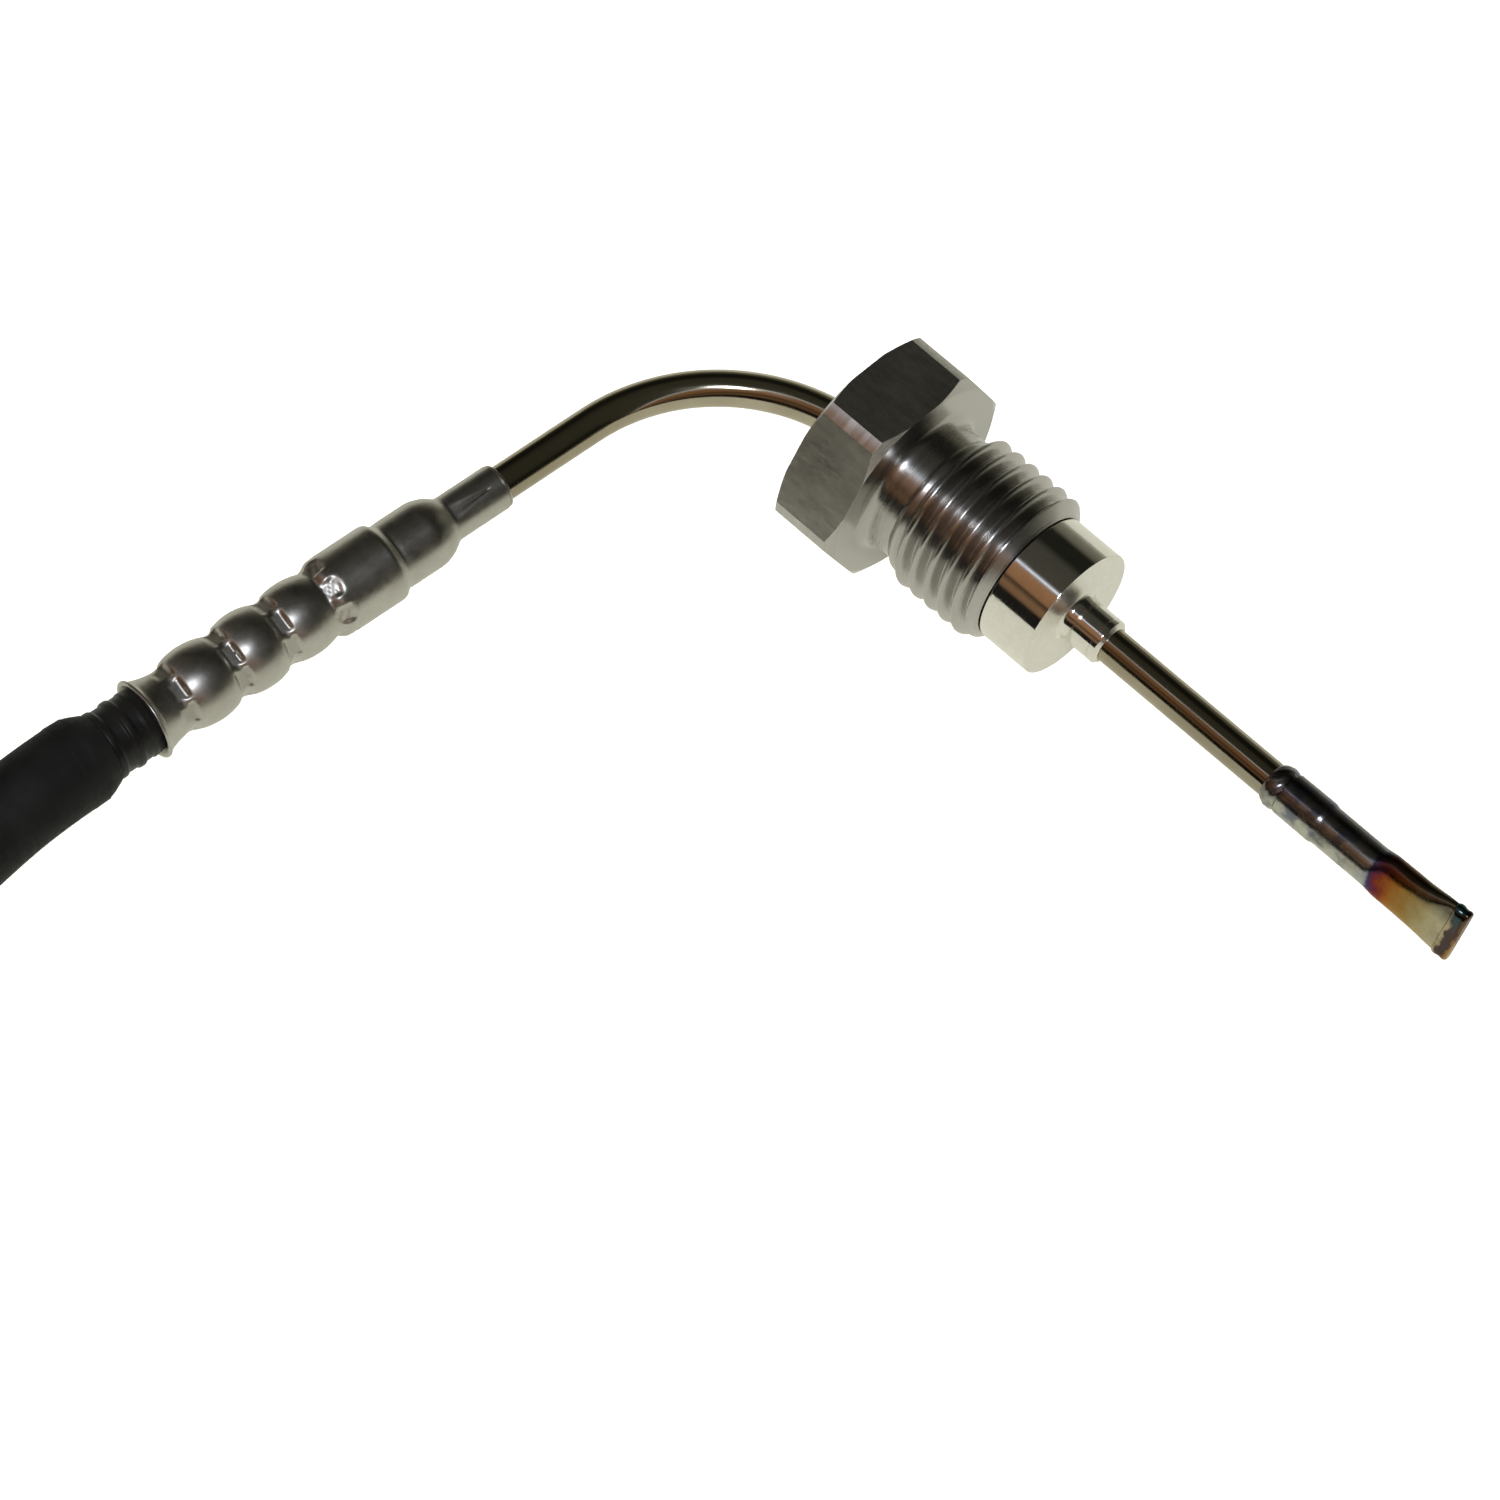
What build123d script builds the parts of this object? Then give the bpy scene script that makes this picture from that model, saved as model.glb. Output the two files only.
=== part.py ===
"""Exhaust gas temperature probe: a bent metal-sheathed probe with a captive M14 coupling nut, a crimped
transition sleeve, a hose-covered lead and a sealed two-way plug.

Millimetres. The origin is the centre of the seal collar's front face, on the probe's axis. +X runs along
the probe towards its tip and +Z is up. The part lies on a table: the nut rests on one of its flats, and the
tail, bent towards -Y, droops until the hose lies on the table.
"""
from build123d import *
from math import cos, pi, radians, sin, sqrt, tan
import os

# ---------------------------------------------------------------- driving dimensions
GAP = 0.02              # between pieces that are pressed or compacted together
SLIP = 0.1              # between pieces that slide past each other

# probe
SHEATH_R = 1.5          # metal sheath, outside
SHEATH_WALL = 0.45
WIRE_R = 0.2            # conductors inside the sheath
WIRE_COVER = 0.1        # insulation between a conductor and the sheath
SHEATH_FRONT = 24.0     # x where the sheath ends, inside the tip sleeve
BEND_START = 22.5       # length of straight sheath behind the collar's front face
BEND_R = 16.5           # centreline radius of the bend
BEND_ANGLE = 83.8
DROOP = 3.5             # the bend's plane, in degrees below horizontal
TAIL = 43.9             # from the bend's end to the transition sleeve's open rim

# seal collar
COLLAR_R = 5.8
COLLAR_LONG = 4.75
NECK_WALL = 0.5
NECK_LONG = 3.9
NECK_CHAMFER = 0.4
NECK_FILLET = 0.8
HUB_WALL = 0.8          # hub behind the collar, inside the nut
HUB_LONG = 3.0

# coupling nut
NUT_GAP = 0.1           # between the collar's back and the nut's front
BORE_CLEARANCE = 0.3    # round the collar's hub
THREAD_R = 6.975        # crests of the M14 x 1.5 thread
THREAD_PITCH = 1.5
THREAD_DEPTH = 0.9
CREST_FLAT = 0.25
THREAD_TURNS = 6
THREAD_LEAD = 0.35       # plain end in front of the first turn
RELIEF_R = 5.9
RELIEF_LONG = 2.5
HEX_FLATS = 17.7
HEX_LONG = 6.3
HEX_CORNER_R = 9.9      # turned radius that takes the sharp corners off
HEX_CHAMFER_R = 9.0     # where the chamfer meets the hexagon's end faces
HEX_CHAMFER_ANGLE = 30

# tip
BEAD_X = 20.7
BEAD_LONG = 1.6
BEAD_RISE = 0.33        # above the sheath
TIP_OVER = 0.31         # cap's wall over the sheath
TIP_STEP_X = 26.1
TIP_R = 1.72            # over the element
TIP_WALL = 0.32
SQUEEZE_X, SQUEEZE_LONG = 30.6, 1.6     # where the cap starts to flatten
SQUEEZE_HALF = (2.02, 1.12)   # half width and half thickness of the flattened cap
PINCH_X, PINCH_LONG = 36.4, 2.5         # where it is pinched shut
PINCH_TURN = 65.0       # the flattened oval's long direction, in degrees from +Y towards +Z
PINCH_HALF = (2.42, 0.45)
END_BEAD_LONG = 1.3
END_BEAD_HALF = (2.5, 0.66)
CAVITY_END = 30.3
ELEMENT_X = 27.2        # sensing chip
ELEMENT_LONG = 2.6
ELEMENT_THICK = 0.9

# transition sleeve: distances from its open rim towards the bend, and outside radii
SLEEVE_WALL = 0.5
RIM_R = 3.4
CREASES = [(2.7, 2.7), (7.8, 2.75), (12.5, 2.75), (16.9, 2.8)]
BULBS = [(5.3, 3.325), (10.2, 3.325), (14.7, 3.2)]
BODY_FROM, BODY_TO, BODY_R = 17.9, 23.2, 3.36
STEP_FROM, STEP_TO, STEP_R = 24.1, 26.7, 2.9
NECK_FROM, NECK_TO, SLEEVE_NECK_WALL = 29.4, 34.4, 0.425
NECK_END, NECK_END_WALL = 34.8, 0.16
SHEATH_END_S = 28.0     # the sheath ends here, inside the sleeve

# cold end, inside the transition sleeve
SEAL_FROM, SEAL_TO = 24.7, 26.5
SPACER_FROM, SPACER_TO = 18.2, 22.8
FERRULE_FROM, FERRULE_TO = 18.6, 22.4
FERRULE_GAP = 0.26      # between the two ferrules
LEAD_GAP = 0.2          # between the two lead wires
CORE_R = 0.3            # a lead wire's strands
GROMMET_R = 2.775
GROMMET_RIB_R = 2.925
GROMMET_RIBS = [-3.75, -2.05]
GROMMET_BACK = -4.2
GROMMET_FRONT = 12.5

# hose
HOSE_R = 3.65
FLOOR_Z = -HEX_FLATS / 2
COIL_TURN_R = 36.5      # to the middle of the coiled hose
COIL_CENTRE = (-80.3, -97.7)

# plug
PLUG_X, PLUG_REAR_Y = -117.0, -49.5
PLUG_WIDE, PLUG_HIGH, PLUG_LONG = 15.0, 12.0, 22.0
PLUG_WALL = 1.4
PLUG_ROUND = 1.6
NOSE_WIDE, NOSE_HIGH, NOSE_LONG = 11.6, 8.2, 8.0
POLE_PITCH = 5.0
CAVITY_R = 1.3
TERMINAL_R = 1.1
TERMINAL_BORE_R = 0.6
TERMINAL_LONG = 20.0
TERMINAL_INSET = 1.0    # the terminals' mouths behind the nose's face
WIRE_SEAL_R = 2.1
WIRE_SEAL_LONG = 5.0
BOOT_LONG = 11.0
BOOT_GRIP_LONG = 4.0
BOOT_GRIP_R = 4.9
NOSE_SEAL_THICK = 0.9
NOSE_SEAL_LONG = 3.0
LOCK_LONG, LOCK_THICK = 3.0, 1.6    # secondary lock: along the plug, and up
LATCH_WIDE, LATCH_LONG, LATCH_THICK = 5.0, 17.0, 1.3
LATCH_RISE = 1.5        # latch arm's underside above the plug's top
LATCH_POST_LONG = 2.4
LATCH_FOOT_GAP = 0.15   # under the post, which rocks when the arm is pressed

# ---------------------------------------------------------------- places worked out from them
CORE_OUT_R = SHEATH_R - SHEATH_WALL
WIRE_PITCH = 2 * (CORE_OUT_R - WIRE_COVER - WIRE_R)
LEAD_R = (WIRE_PITCH - LEAD_GAP) / 2
FERRULE_R = (WIRE_PITCH - FERRULE_GAP) / 2
NECK_R = SHEATH_R + NECK_WALL
HUB_R = SHEATH_R + HUB_WALL
BORE_R = HUB_R + BORE_CLEARANCE
SLEEVE_NECK_R = SHEATH_R + SLEEVE_NECK_WALL

NUT_FRONT = -COLLAR_LONG - NUT_GAP
THREAD_LONG = THREAD_LEAD + (THREAD_TURNS + 0.4) * THREAD_PITCH
THREAD_BACK = NUT_FRONT - THREAD_LONG
HEX_FRONT = THREAD_BACK - RELIEF_LONG
HEX_BACK = HEX_FRONT - HEX_LONG

TOWARDS = Vector(0, -cos(radians(DROOP)), -sin(radians(DROOP)))     # the bend leads this way
BEND_CENTRE = Vector(-BEND_START, 0, 0) + TOWARDS * BEND_R
TAIL_DIR = Vector(-cos(radians(BEND_ANGLE)), 0, 0) + TOWARDS * sin(radians(BEND_ANGLE))
BEND_END = BEND_CENTRE - TOWARDS * (BEND_R * cos(radians(BEND_ANGLE))) - Vector(BEND_R * sin(radians(BEND_ANGLE)), 0, 0)
RIM = BEND_END + TAIL_DIR * TAIL
ACROSS = Vector(1, 0, 0).cross(TOWARDS)     # square to the bend's plane

ALONG_X = Plane(origin=(0, 0, 0), x_dir=(0, 1, 0), z_dir=(1, 0, 0))
SLEEVE = Plane(origin=RIM, x_dir=ACROSS, z_dir=TAIL_DIR * -1)   # local Z runs from the rim to the bend


def write(node, shape):
    shape.label = node
    export_step(shape, f"parts/{node}.step")


def turned_x(points):
    """A solid turned about X from (x, radius) points of its half outline."""
    return revolve(Plane.XZ * make_face(Polyline([(x, r) for x, r in points], close=True)), Axis.X)


def rod_x(r, x0, x1, y=0.0, z=0.0):
    return Plane(origin=(x0, y, z), z_dir=(1, 0, 0)) * extrude(Circle(r), x1 - x0)


def rod_s(r, s0, s1, off=0.0):
    """A rod along the transition sleeve, off to one side of its axis."""
    return SLEEVE * Pos(off, 0, s0) * extrude(Circle(r), s1 - s0)


def bent(section, x_front, s_end, off=0.0):
    """A section swept from x_front on the probe, round the bend, to s_end in the sleeve."""
    side = ACROSS * off
    start = Vector(x_front, 0, 0) + side
    turn = Vector(-BEND_START, 0, 0) + side
    middle = BEND_CENTRE - TOWARDS * (BEND_R * cos(radians(BEND_ANGLE / 2)))
    middle = middle - Vector(BEND_R * sin(radians(BEND_ANGLE / 2)), 0, 0) + side
    finish = RIM - TAIL_DIR * s_end + side
    path = Wire([Line(start, turn), ThreePointArc(turn, middle, BEND_END + side), Line(BEND_END + side, finish)])
    return sweep(Plane(origin=start, x_dir=ACROSS, z_dir=(-1, 0, 0)) * section, path=path)


# ---------------------------------------------------------------- nut and collar
def thread_outline():
    """The thread's half outline, front to back: ridges at the thread's pitch, with small flats on their crests."""
    root = THREAD_R - THREAD_DEPTH
    points = [(NUT_FRONT, root - 0.25)]
    for k in range(THREAD_TURNS):
        crest = NUT_FRONT - THREAD_LEAD - THREAD_PITCH * (k + 0.7)
        points += [(crest + THREAD_PITCH / 2 - 0.1, root), (crest + CREST_FLAT / 2, THREAD_R)]
        points += [(crest - CREST_FLAT / 2, THREAD_R), (crest - THREAD_PITCH / 2 + 0.1, root)]
    return points + [(THREAD_BACK, root)]


def coupling_nut():
    outline = thread_outline() + [(THREAD_BACK, RELIEF_R), (HEX_FRONT - 1, RELIEF_R), (HEX_FRONT - 1, BORE_R)]
    front = turned_x(outline + [(NUT_FRONT, BORE_R)])
    corner_r = HEX_FLATS / sqrt(3)
    hexagon = Plane(origin=(HEX_BACK, 0, 0), x_dir=(0, 1, 0), z_dir=(1, 0, 0)) * extrude(
        RegularPolygon(corner_r, 6), HEX_LONG)
    drop = (HEX_CORNER_R - HEX_CHAMFER_R) * tan(radians(HEX_CHAMFER_ANGLE))
    turned = turned_x([(HEX_BACK, BORE_R), (HEX_BACK, HEX_CHAMFER_R), (HEX_BACK + drop, HEX_CORNER_R),
                       (HEX_FRONT - drop, HEX_CORNER_R), (HEX_FRONT, HEX_CHAMFER_R), (HEX_FRONT, BORE_R)])
    return (hexagon & turned) + front


def seal_collar():
    bore = SHEATH_R + GAP
    back = -COLLAR_LONG
    lines = [
        Line((back - HUB_LONG, bore), (back - HUB_LONG, HUB_R)),
        Line((back - HUB_LONG, HUB_R), (back, HUB_R)),
        Line((back, HUB_R), (back, COLLAR_R)),
        Line((back, COLLAR_R), (0, COLLAR_R)),
        Line((0, COLLAR_R), (0, NECK_R + NECK_FILLET)),
        RadiusArc((0, NECK_R + NECK_FILLET), (NECK_FILLET, NECK_R), -NECK_FILLET),
        Line((NECK_FILLET, NECK_R), (NECK_LONG - NECK_CHAMFER, NECK_R)),
        Line((NECK_LONG - NECK_CHAMFER, NECK_R), (NECK_LONG, NECK_R - NECK_CHAMFER)),
        Line((NECK_LONG, NECK_R - NECK_CHAMFER), (NECK_LONG, bore)),
        Line((NECK_LONG, bore), (back - HUB_LONG, bore)),
    ]
    return revolve(Plane.XZ * make_face(Wire(lines)), Axis.X)


# ---------------------------------------------------------------- probe
def ring(r_out, r_in):
    return Circle(r_out) - Circle(r_in)


def probe_sheath():
    return bent(ring(SHEATH_R, CORE_OUT_R), SHEATH_FRONT, SHEATH_END_S)


def sheath_insulation():
    holes = [Pos(side * WIRE_PITCH / 2, 0) * Circle(WIRE_R + GAP) for side in (-1, 1)]
    return bent(Circle(CORE_OUT_R - GAP) - holes[0] - holes[1], SHEATH_FRONT, SHEATH_END_S)


def conductor(side):
    return bent(Circle(WIRE_R), ELEMENT_X, FERRULE_TO - 2, side * WIRE_PITCH / 2)


def tip_weld():
    """A rounded bead round the sheath at the tip sleeve's mouth."""
    bore = SHEATH_R + GAP
    end = BEAD_X + BEAD_LONG
    arc = ThreePointArc((BEAD_X, bore), (BEAD_X + BEAD_LONG / 2, SHEATH_R + BEAD_RISE), (end, bore))
    return revolve(Plane.XZ * make_face(Wire([arc, Line((end, bore), (BEAD_X, bore))])), Axis.X)


def pinch_oval(x, wide, thick):
    turn = radians(PINCH_TURN)
    outline = Circle(wide) if wide == thick else Ellipse(wide, thick)
    return Plane(origin=(x, 0, 0), x_dir=(0, cos(turn), sin(turn)), z_dir=(1, 0, 0)) * outline


def end_weld():
    """The bead that closes the pinched end."""
    x0 = PINCH_X + PINCH_LONG + GAP
    wide, thick = END_BEAD_HALF
    return loft([pinch_oval(x0, wide - 0.1, thick - 0.16), pinch_oval(x0 + END_BEAD_LONG * 0.5, wide, thick),
                 pinch_oval(x0 + END_BEAD_LONG, wide - 0.15, thick - 0.2)])


def tip_sleeve():
    """The tip's cap: two turned steps, then a flattened stretch with its end pinched shut."""
    start = BEAD_X + BEAD_LONG + GAP
    body = turned_x([(start, 0), (start, SHEATH_R + TIP_OVER), (TIP_STEP_X, SHEATH_R + TIP_OVER), (TIP_STEP_X + 0.3, TIP_R),
                     (SQUEEZE_X, TIP_R), (SQUEEZE_X, 0)])
    flat_x, end_x = SQUEEZE_X + SQUEEZE_LONG, PINCH_X + PINCH_LONG
    body += loft([pinch_oval(SQUEEZE_X, TIP_R, TIP_R), pinch_oval(flat_x, *SQUEEZE_HALF)])
    body += extrude(pinch_oval(flat_x, *SQUEEZE_HALF), PINCH_X - flat_x, dir=(1, 0, 0))
    body += loft([pinch_oval(PINCH_X, *SQUEEZE_HALF), pinch_oval(end_x, *PINCH_HALF)])
    mouth = turned_x([(start, 0), (start, SHEATH_R + GAP), (SHEATH_FRONT + GAP, SHEATH_R + GAP),
                      (SHEATH_FRONT + GAP, TIP_R - TIP_WALL), (CAVITY_END, TIP_R - TIP_WALL), (CAVITY_END, 0)])
    return body - mouth


def sensing_element():
    """A flat chip as wide as its two leads."""
    face = Rectangle(WIRE_PITCH + 2 * WIRE_R, ELEMENT_THICK)
    return Plane(origin=(ELEMENT_X + GAP, 0, 0), x_dir=ACROSS, z_dir=(1, 0, 0)) * extrude(face, ELEMENT_LONG)


def element_cement():
    """Packed powder round the element and its leads."""
    x0, x1 = SHEATH_FRONT + 2 * GAP, CAVITY_END - GAP
    fill = rod_x(TIP_R - TIP_WALL - GAP, x0, x1)
    hollow = Rectangle(WIRE_PITCH + 2 * (WIRE_R + 3 * GAP), ELEMENT_THICK + 2 * GAP)
    fill -= Plane(origin=(ELEMENT_X, 0, 0), x_dir=ACROSS, z_dir=(1, 0, 0)) * extrude(hollow, ELEMENT_LONG + 2 * GAP)
    for side in (-1, 1):
        place = ACROSS * (side * WIRE_PITCH / 2)
        fill -= rod_x(WIRE_R + GAP, x0 - 1, ELEMENT_X, place.Y, place.Z)
    return fill


# ---------------------------------------------------------------- transition sleeve and cold end
def sleeve_line(inset):
    """Edges of the sleeve's outline, from rim to neck, moved in by inset. Points are (radius, s)."""
    at = [(r - inset, s) for s, r in CREASES]
    top = [(r - inset, s) for s, r in BULBS]
    body_r, step_r = BODY_R - inset, STEP_R - inset
    neck_r = SHEATH_R + GAP if inset else SLEEVE_NECK_R
    rim_r = RIM_R - inset
    edges = [ThreePointArc((rim_r, 0), ((rim_r + 2 * at[0][0]) / 3, CREASES[0][0] * 0.45), at[0])]
    edges += [ThreePointArc(a, t, b) for a, t, b in zip(at, top, at[1:])]
    shoulder = (NECK_FROM + STEP_TO) / 2
    edges += [
        ThreePointArc(at[-1], ((at[-1][0] + 3 * body_r) / 4, BODY_FROM - 0.55), (body_r, BODY_FROM)),
        Line((body_r, BODY_FROM), (body_r, BODY_TO)),
        ThreePointArc((body_r, BODY_TO), ((3 * body_r + step_r) / 4, (BODY_TO + STEP_FROM) / 2), (step_r, STEP_FROM)),
        Line((step_r, STEP_FROM), (step_r, STEP_TO)),
        ThreePointArc((step_r, STEP_TO), ((2 * step_r + neck_r) / 3 + 0.15, shoulder), (neck_r, NECK_FROM)),
    ]
    return edges


def transition_sleeve():
    outer, inner = sleeve_line(0), sleeve_line(SLEEVE_WALL)
    neck_bore = SHEATH_R + GAP
    close = [
        Line((SLEEVE_NECK_R, NECK_FROM), (SLEEVE_NECK_R, NECK_TO)),
        Line((SLEEVE_NECK_R, NECK_TO), (SHEATH_R + NECK_END_WALL, NECK_END)),
        Line((SHEATH_R + NECK_END_WALL, NECK_END), (neck_bore, NECK_END)),
        Line((neck_bore, NECK_END), (neck_bore, NECK_FROM)),
        Line((RIM_R - SLEEVE_WALL, 0), (RIM_R, 0)),
    ]
    face = make_face(Wire(outer + inner + close))
    return SLEEVE * revolve(Plane.XZ * face, Axis.Z)


def cold_end_seal():
    """Glass that closes the sheath's end, round both conductors."""
    disc = rod_s(STEP_R - SLEEVE_WALL - SLIP, SEAL_FROM, SEAL_TO)
    for side in (-1, 1):
        disc -= rod_s(WIRE_R + GAP, SEAL_FROM - 1, SEAL_TO + 1, side * WIRE_PITCH / 2)
    return disc


def splice_spacer():
    """Ceramic body with a bore for each splice."""
    body = rod_s(BODY_R - SLEEVE_WALL - SLIP, SPACER_FROM, SPACER_TO)
    for side in (-1, 1):
        body -= rod_s(FERRULE_R + SLIP / 2, SPACER_FROM - 1, SPACER_TO + 1, side * WIRE_PITCH / 2)
    return body


def splice_ferrule(side):
    off = side * WIRE_PITCH / 2
    middle = FERRULE_TO - 2
    tube = rod_s(FERRULE_R, FERRULE_FROM, FERRULE_TO, off)
    tube -= rod_s(CORE_R + GAP, FERRULE_FROM - 1, middle, off)
    return tube - rod_s(WIRE_R + GAP, middle - 1, FERRULE_TO + 1, off)


def lead_wire(side):
    off = side * WIRE_PITCH / 2
    bare_from = FERRULE_FROM - 0.1
    wire = rod_s(LEAD_R, GROMMET_BACK, bare_from, off)
    return wire + rod_s(CORE_R, bare_from - 1, FERRULE_TO - 2 - GAP, off)


def seal_grommet():
    """Rubber bung: ribbed where it shows, and squeezed to the crimped sleeve's inside where it doesn't."""
    clear = SLEEVE_WALL + GAP
    at = [(r - clear, s) for s, r in CREASES if s <= GROMMET_FRONT]
    top = [(r - clear, s) for s, r in BULBS if s <= GROMMET_FRONT]
    edges = [Line((0, GROMMET_BACK), (GROMMET_R, GROMMET_BACK)), Line((GROMMET_R, GROMMET_BACK), (GROMMET_R, -0.6)),
             Line((GROMMET_R, -0.6), (RIM_R - SLEEVE_WALL - 4 * SLIP, 0)),
             Line((RIM_R - SLEEVE_WALL - 4 * SLIP, 0), at[0])]
    edges += [ThreePointArc(a, t, b) for a, t, b in zip(at, top, at[1:])]
    edges += [Line(at[-1], (0, at[-1][1])), Line((0, at[-1][1]), (0, GROMMET_BACK))]
    bung = revolve(Plane.XZ * make_face(Wire(edges)), Axis.Z)
    for s in GROMMET_RIBS:
        rib = Polyline([(1, s - 0.45), (GROMMET_R, s - 0.45), (GROMMET_RIB_R, s - 0.15), (GROMMET_RIB_R, s + 0.15),
                        (GROMMET_R, s + 0.45), (1, s + 0.45)], close=True)
        bung += revolve(Plane.XZ * make_face(rib), Axis.Z)
    bung = SLEEVE * bung
    for side in (-1, 1):
        bung -= rod_s(LEAD_R + GAP, GROMMET_BACK - 1, GROMMET_FRONT + 1, side * WIRE_PITCH / 2)
    return bung


# ---------------------------------------------------------------- hose
print("hose leaves the grommet at", RIM - TAIL_DIR * GROMMET_BACK, "along", TAIL_DIR)
PLUG_Z = FLOOR_Z + PLUG_HIGH / 2
HOSE_STOP_Y = PLUG_REAR_Y - BOOT_LONG + BOOT_GRIP_LONG

FRONT_ROUTE = [(-44.098, -62.42, -3.818), (-44.8, -68.87, -4.212), (-44.65, -75.6, -4.85), (-44.0, -83.4, -5.12),
               (-43.75, -91.2, -5.2), (-43.8, -97.7, -5.2)]
REAR_ROUTE = [(-116.8, -97.7, 2.1), (-116.9, -90.9, 2.06), (-117.05, -83.9, 1.45), (-117.1, -76.9, -0.3),
              (-117.05, -69.9, -2.0), (-117.0, -63.2, -2.83), (-117.0, -56.5, -2.85)]


def hose(route):
    """Straight runs joined by arcs as large as the runs allow."""
    points = [Vector(*p) for p in route]
    runs = [b - a for a, b in zip(points, points[1:])]
    radii = [0.45 * min(a.length, b.length) / tan(radians(a.get_angle(b) / 2)) for a, b in zip(runs, runs[1:])]
    print("hose radii", [round(r, 1) for r in radii], "runs", [round(r.length, 1) for r in runs])
    path = FilletPolyline(*points, radius=radii)
    tube = sweep(Plane(origin=points[0], z_dir=runs[0]) * Circle(HOSE_R), path=path)
    print("hose volume", round(tube.volume, 1), "section x length", round(pi * HOSE_R**2 * path.length, 1))
    return tube


def hose_coil():
    """The outer shape of the coiled hose, a turn and a half laid over each other."""
    section = Rectangle(2 * HOSE_R, 4 * HOSE_R)
    section = fillet(section.vertices(), HOSE_R * 0.8)
    middle = FLOOR_Z + 2 * HOSE_R
    return Pos(*COIL_CENTRE, middle) * revolve(Plane.XZ * Pos(COIL_TURN_R, 0) * section, Axis.Z)


# ---------------------------------------------------------------- plug (local: rear at 0, nose towards +Y)
PLUG = Pos(PLUG_X, PLUG_REAR_Y, PLUG_Z)
PLUG_FACE = PLUG_LONG + NOSE_LONG
LOCK_Y = PLUG_LONG - LOCK_LONG - 2.0
TOP = PLUG_HIGH / 2


def block(wide, high, y0, y1, x=0.0, z=0.0):
    return Pos(x, (y0 + y1) / 2, z) * Box(wide, y1 - y0, high)


def rod_y(r, y0, y1, x=0.0, z=0.0):
    return Plane(origin=(x, y0, z), x_dir=(1, 0, 0), z_dir=(0, 1, 0)) * extrude(Circle(r), y1 - y0)


def rounded(wide, high, y0, y1, r):
    return Plane(origin=(0, y0, 0), x_dir=(1, 0, 0), z_dir=(0, 1, 0)) * extrude(RectangleRounded(wide, high, r), y1 - y0)


def plug_housing():
    body = rounded(PLUG_WIDE, PLUG_HIGH, 0, PLUG_LONG, PLUG_ROUND)
    body += rounded(NOSE_WIDE, NOSE_HIGH, PLUG_LONG - 1, PLUG_FACE, PLUG_ROUND)
    post_y = PLUG_LONG - 6.0
    for side in (-1, 1):
        x = side * POLE_PITCH / 2
        body -= rod_y(CAVITY_R, -1, PLUG_FACE + 1, x)
        body -= rod_y(WIRE_SEAL_R + GAP, -1, WIRE_SEAL_LONG + GAP, x)
        rail_x = side * (LATCH_WIDE / 2 + SLIP * 3 + 0.8)
        body += block(1.6, LATCH_RISE + LATCH_THICK + 0.8, post_y - 4, post_y + 4,
                      rail_x, TOP + (LATCH_RISE + LATCH_THICK + 0.8) / 2 - 0.01)
    slot = block(PLUG_WIDE, LOCK_THICK + 2 * SLIP, LOCK_Y - SLIP, LOCK_Y + LOCK_LONG + SLIP,
                 PLUG_WALL, -CAVITY_R - LOCK_THICK / 2 - SLIP)
    return PLUG * (body - slot)


def plug_terminal(side):
    x = side * POLE_PITCH / 2
    start = PLUG_FACE - TERMINAL_INSET - TERMINAL_LONG
    tube = rod_y(TERMINAL_R, start, PLUG_FACE - TERMINAL_INSET, x)
    tube -= rod_y(TERMINAL_BORE_R, start + 11, PLUG_FACE, x)
    return PLUG * (tube - rod_y(CORE_R + GAP, start - 1, start + 4, x))


def plug_wire_seal(side):
    x = side * POLE_PITCH / 2
    seal = rod_y(WIRE_SEAL_R - 0.2, 0, WIRE_SEAL_LONG, x)
    for k in range(3):
        seal += rod_y(WIRE_SEAL_R, 0.5 + 1.6 * k, 1.2 + 1.6 * k, x)
    return PLUG * (seal - rod_y(LEAD_R + GAP, -1, WIRE_SEAL_LONG + 1, x))


def plug_lead(side):
    """Lead wire from the hose's end, through its seal, to the terminal."""
    near, far = side * WIRE_PITCH / 2, side * POLE_PITCH / 2
    start = PLUG_FACE - TERMINAL_INSET - TERMINAL_LONG
    begin = HOSE_STOP_Y - PLUG_REAR_Y + SLIP
    route = [(near, begin, 0), (near, -2.8, 0), (far, -0.7, 0), (far, start - 0.05, 0)]
    path = FilletPolyline(*route, radius=0.9)
    wire = sweep(Plane(origin=route[0], z_dir=(0, 1, 0)) * Circle(LEAD_R), path=path)
    return PLUG * (wire + rod_y(CORE_R, start - 1, start + 4 - GAP, far))


def plug_boot():
    """Rear cover: a cap behind the housing that narrows to a grip round the hose."""
    y0 = -BOOT_LONG
    cap = rounded(PLUG_WIDE, PLUG_HIGH, -3.2, -GAP, PLUG_ROUND)
    grip = rod_y(BOOT_GRIP_R, y0, -3.0)
    inside = rod_y(HOSE_R + GAP, y0 - 1, y0 + BOOT_GRIP_LONG)
    inside += rod_y(HOSE_R - 0.6, y0 + BOOT_GRIP_LONG - 0.1, 1)
    inside += block(POLE_PITCH + 2 * WIRE_SEAL_R, 2 * WIRE_SEAL_R, -2.9, 1)
    return PLUG * (cap + grip - inside)


def nose_seal():
    y0, y1 = PLUG_LONG + GAP, PLUG_LONG + NOSE_SEAL_LONG
    outer = rounded(NOSE_WIDE + 2 * NOSE_SEAL_THICK, NOSE_HIGH + 2 * NOSE_SEAL_THICK, y0, y1, PLUG_ROUND + NOSE_SEAL_THICK)
    return PLUG * (outer - rounded(NOSE_WIDE + 2 * GAP, NOSE_HIGH + 2 * GAP, y0 - 1, y1 + 1, PLUG_ROUND + GAP))


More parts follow.
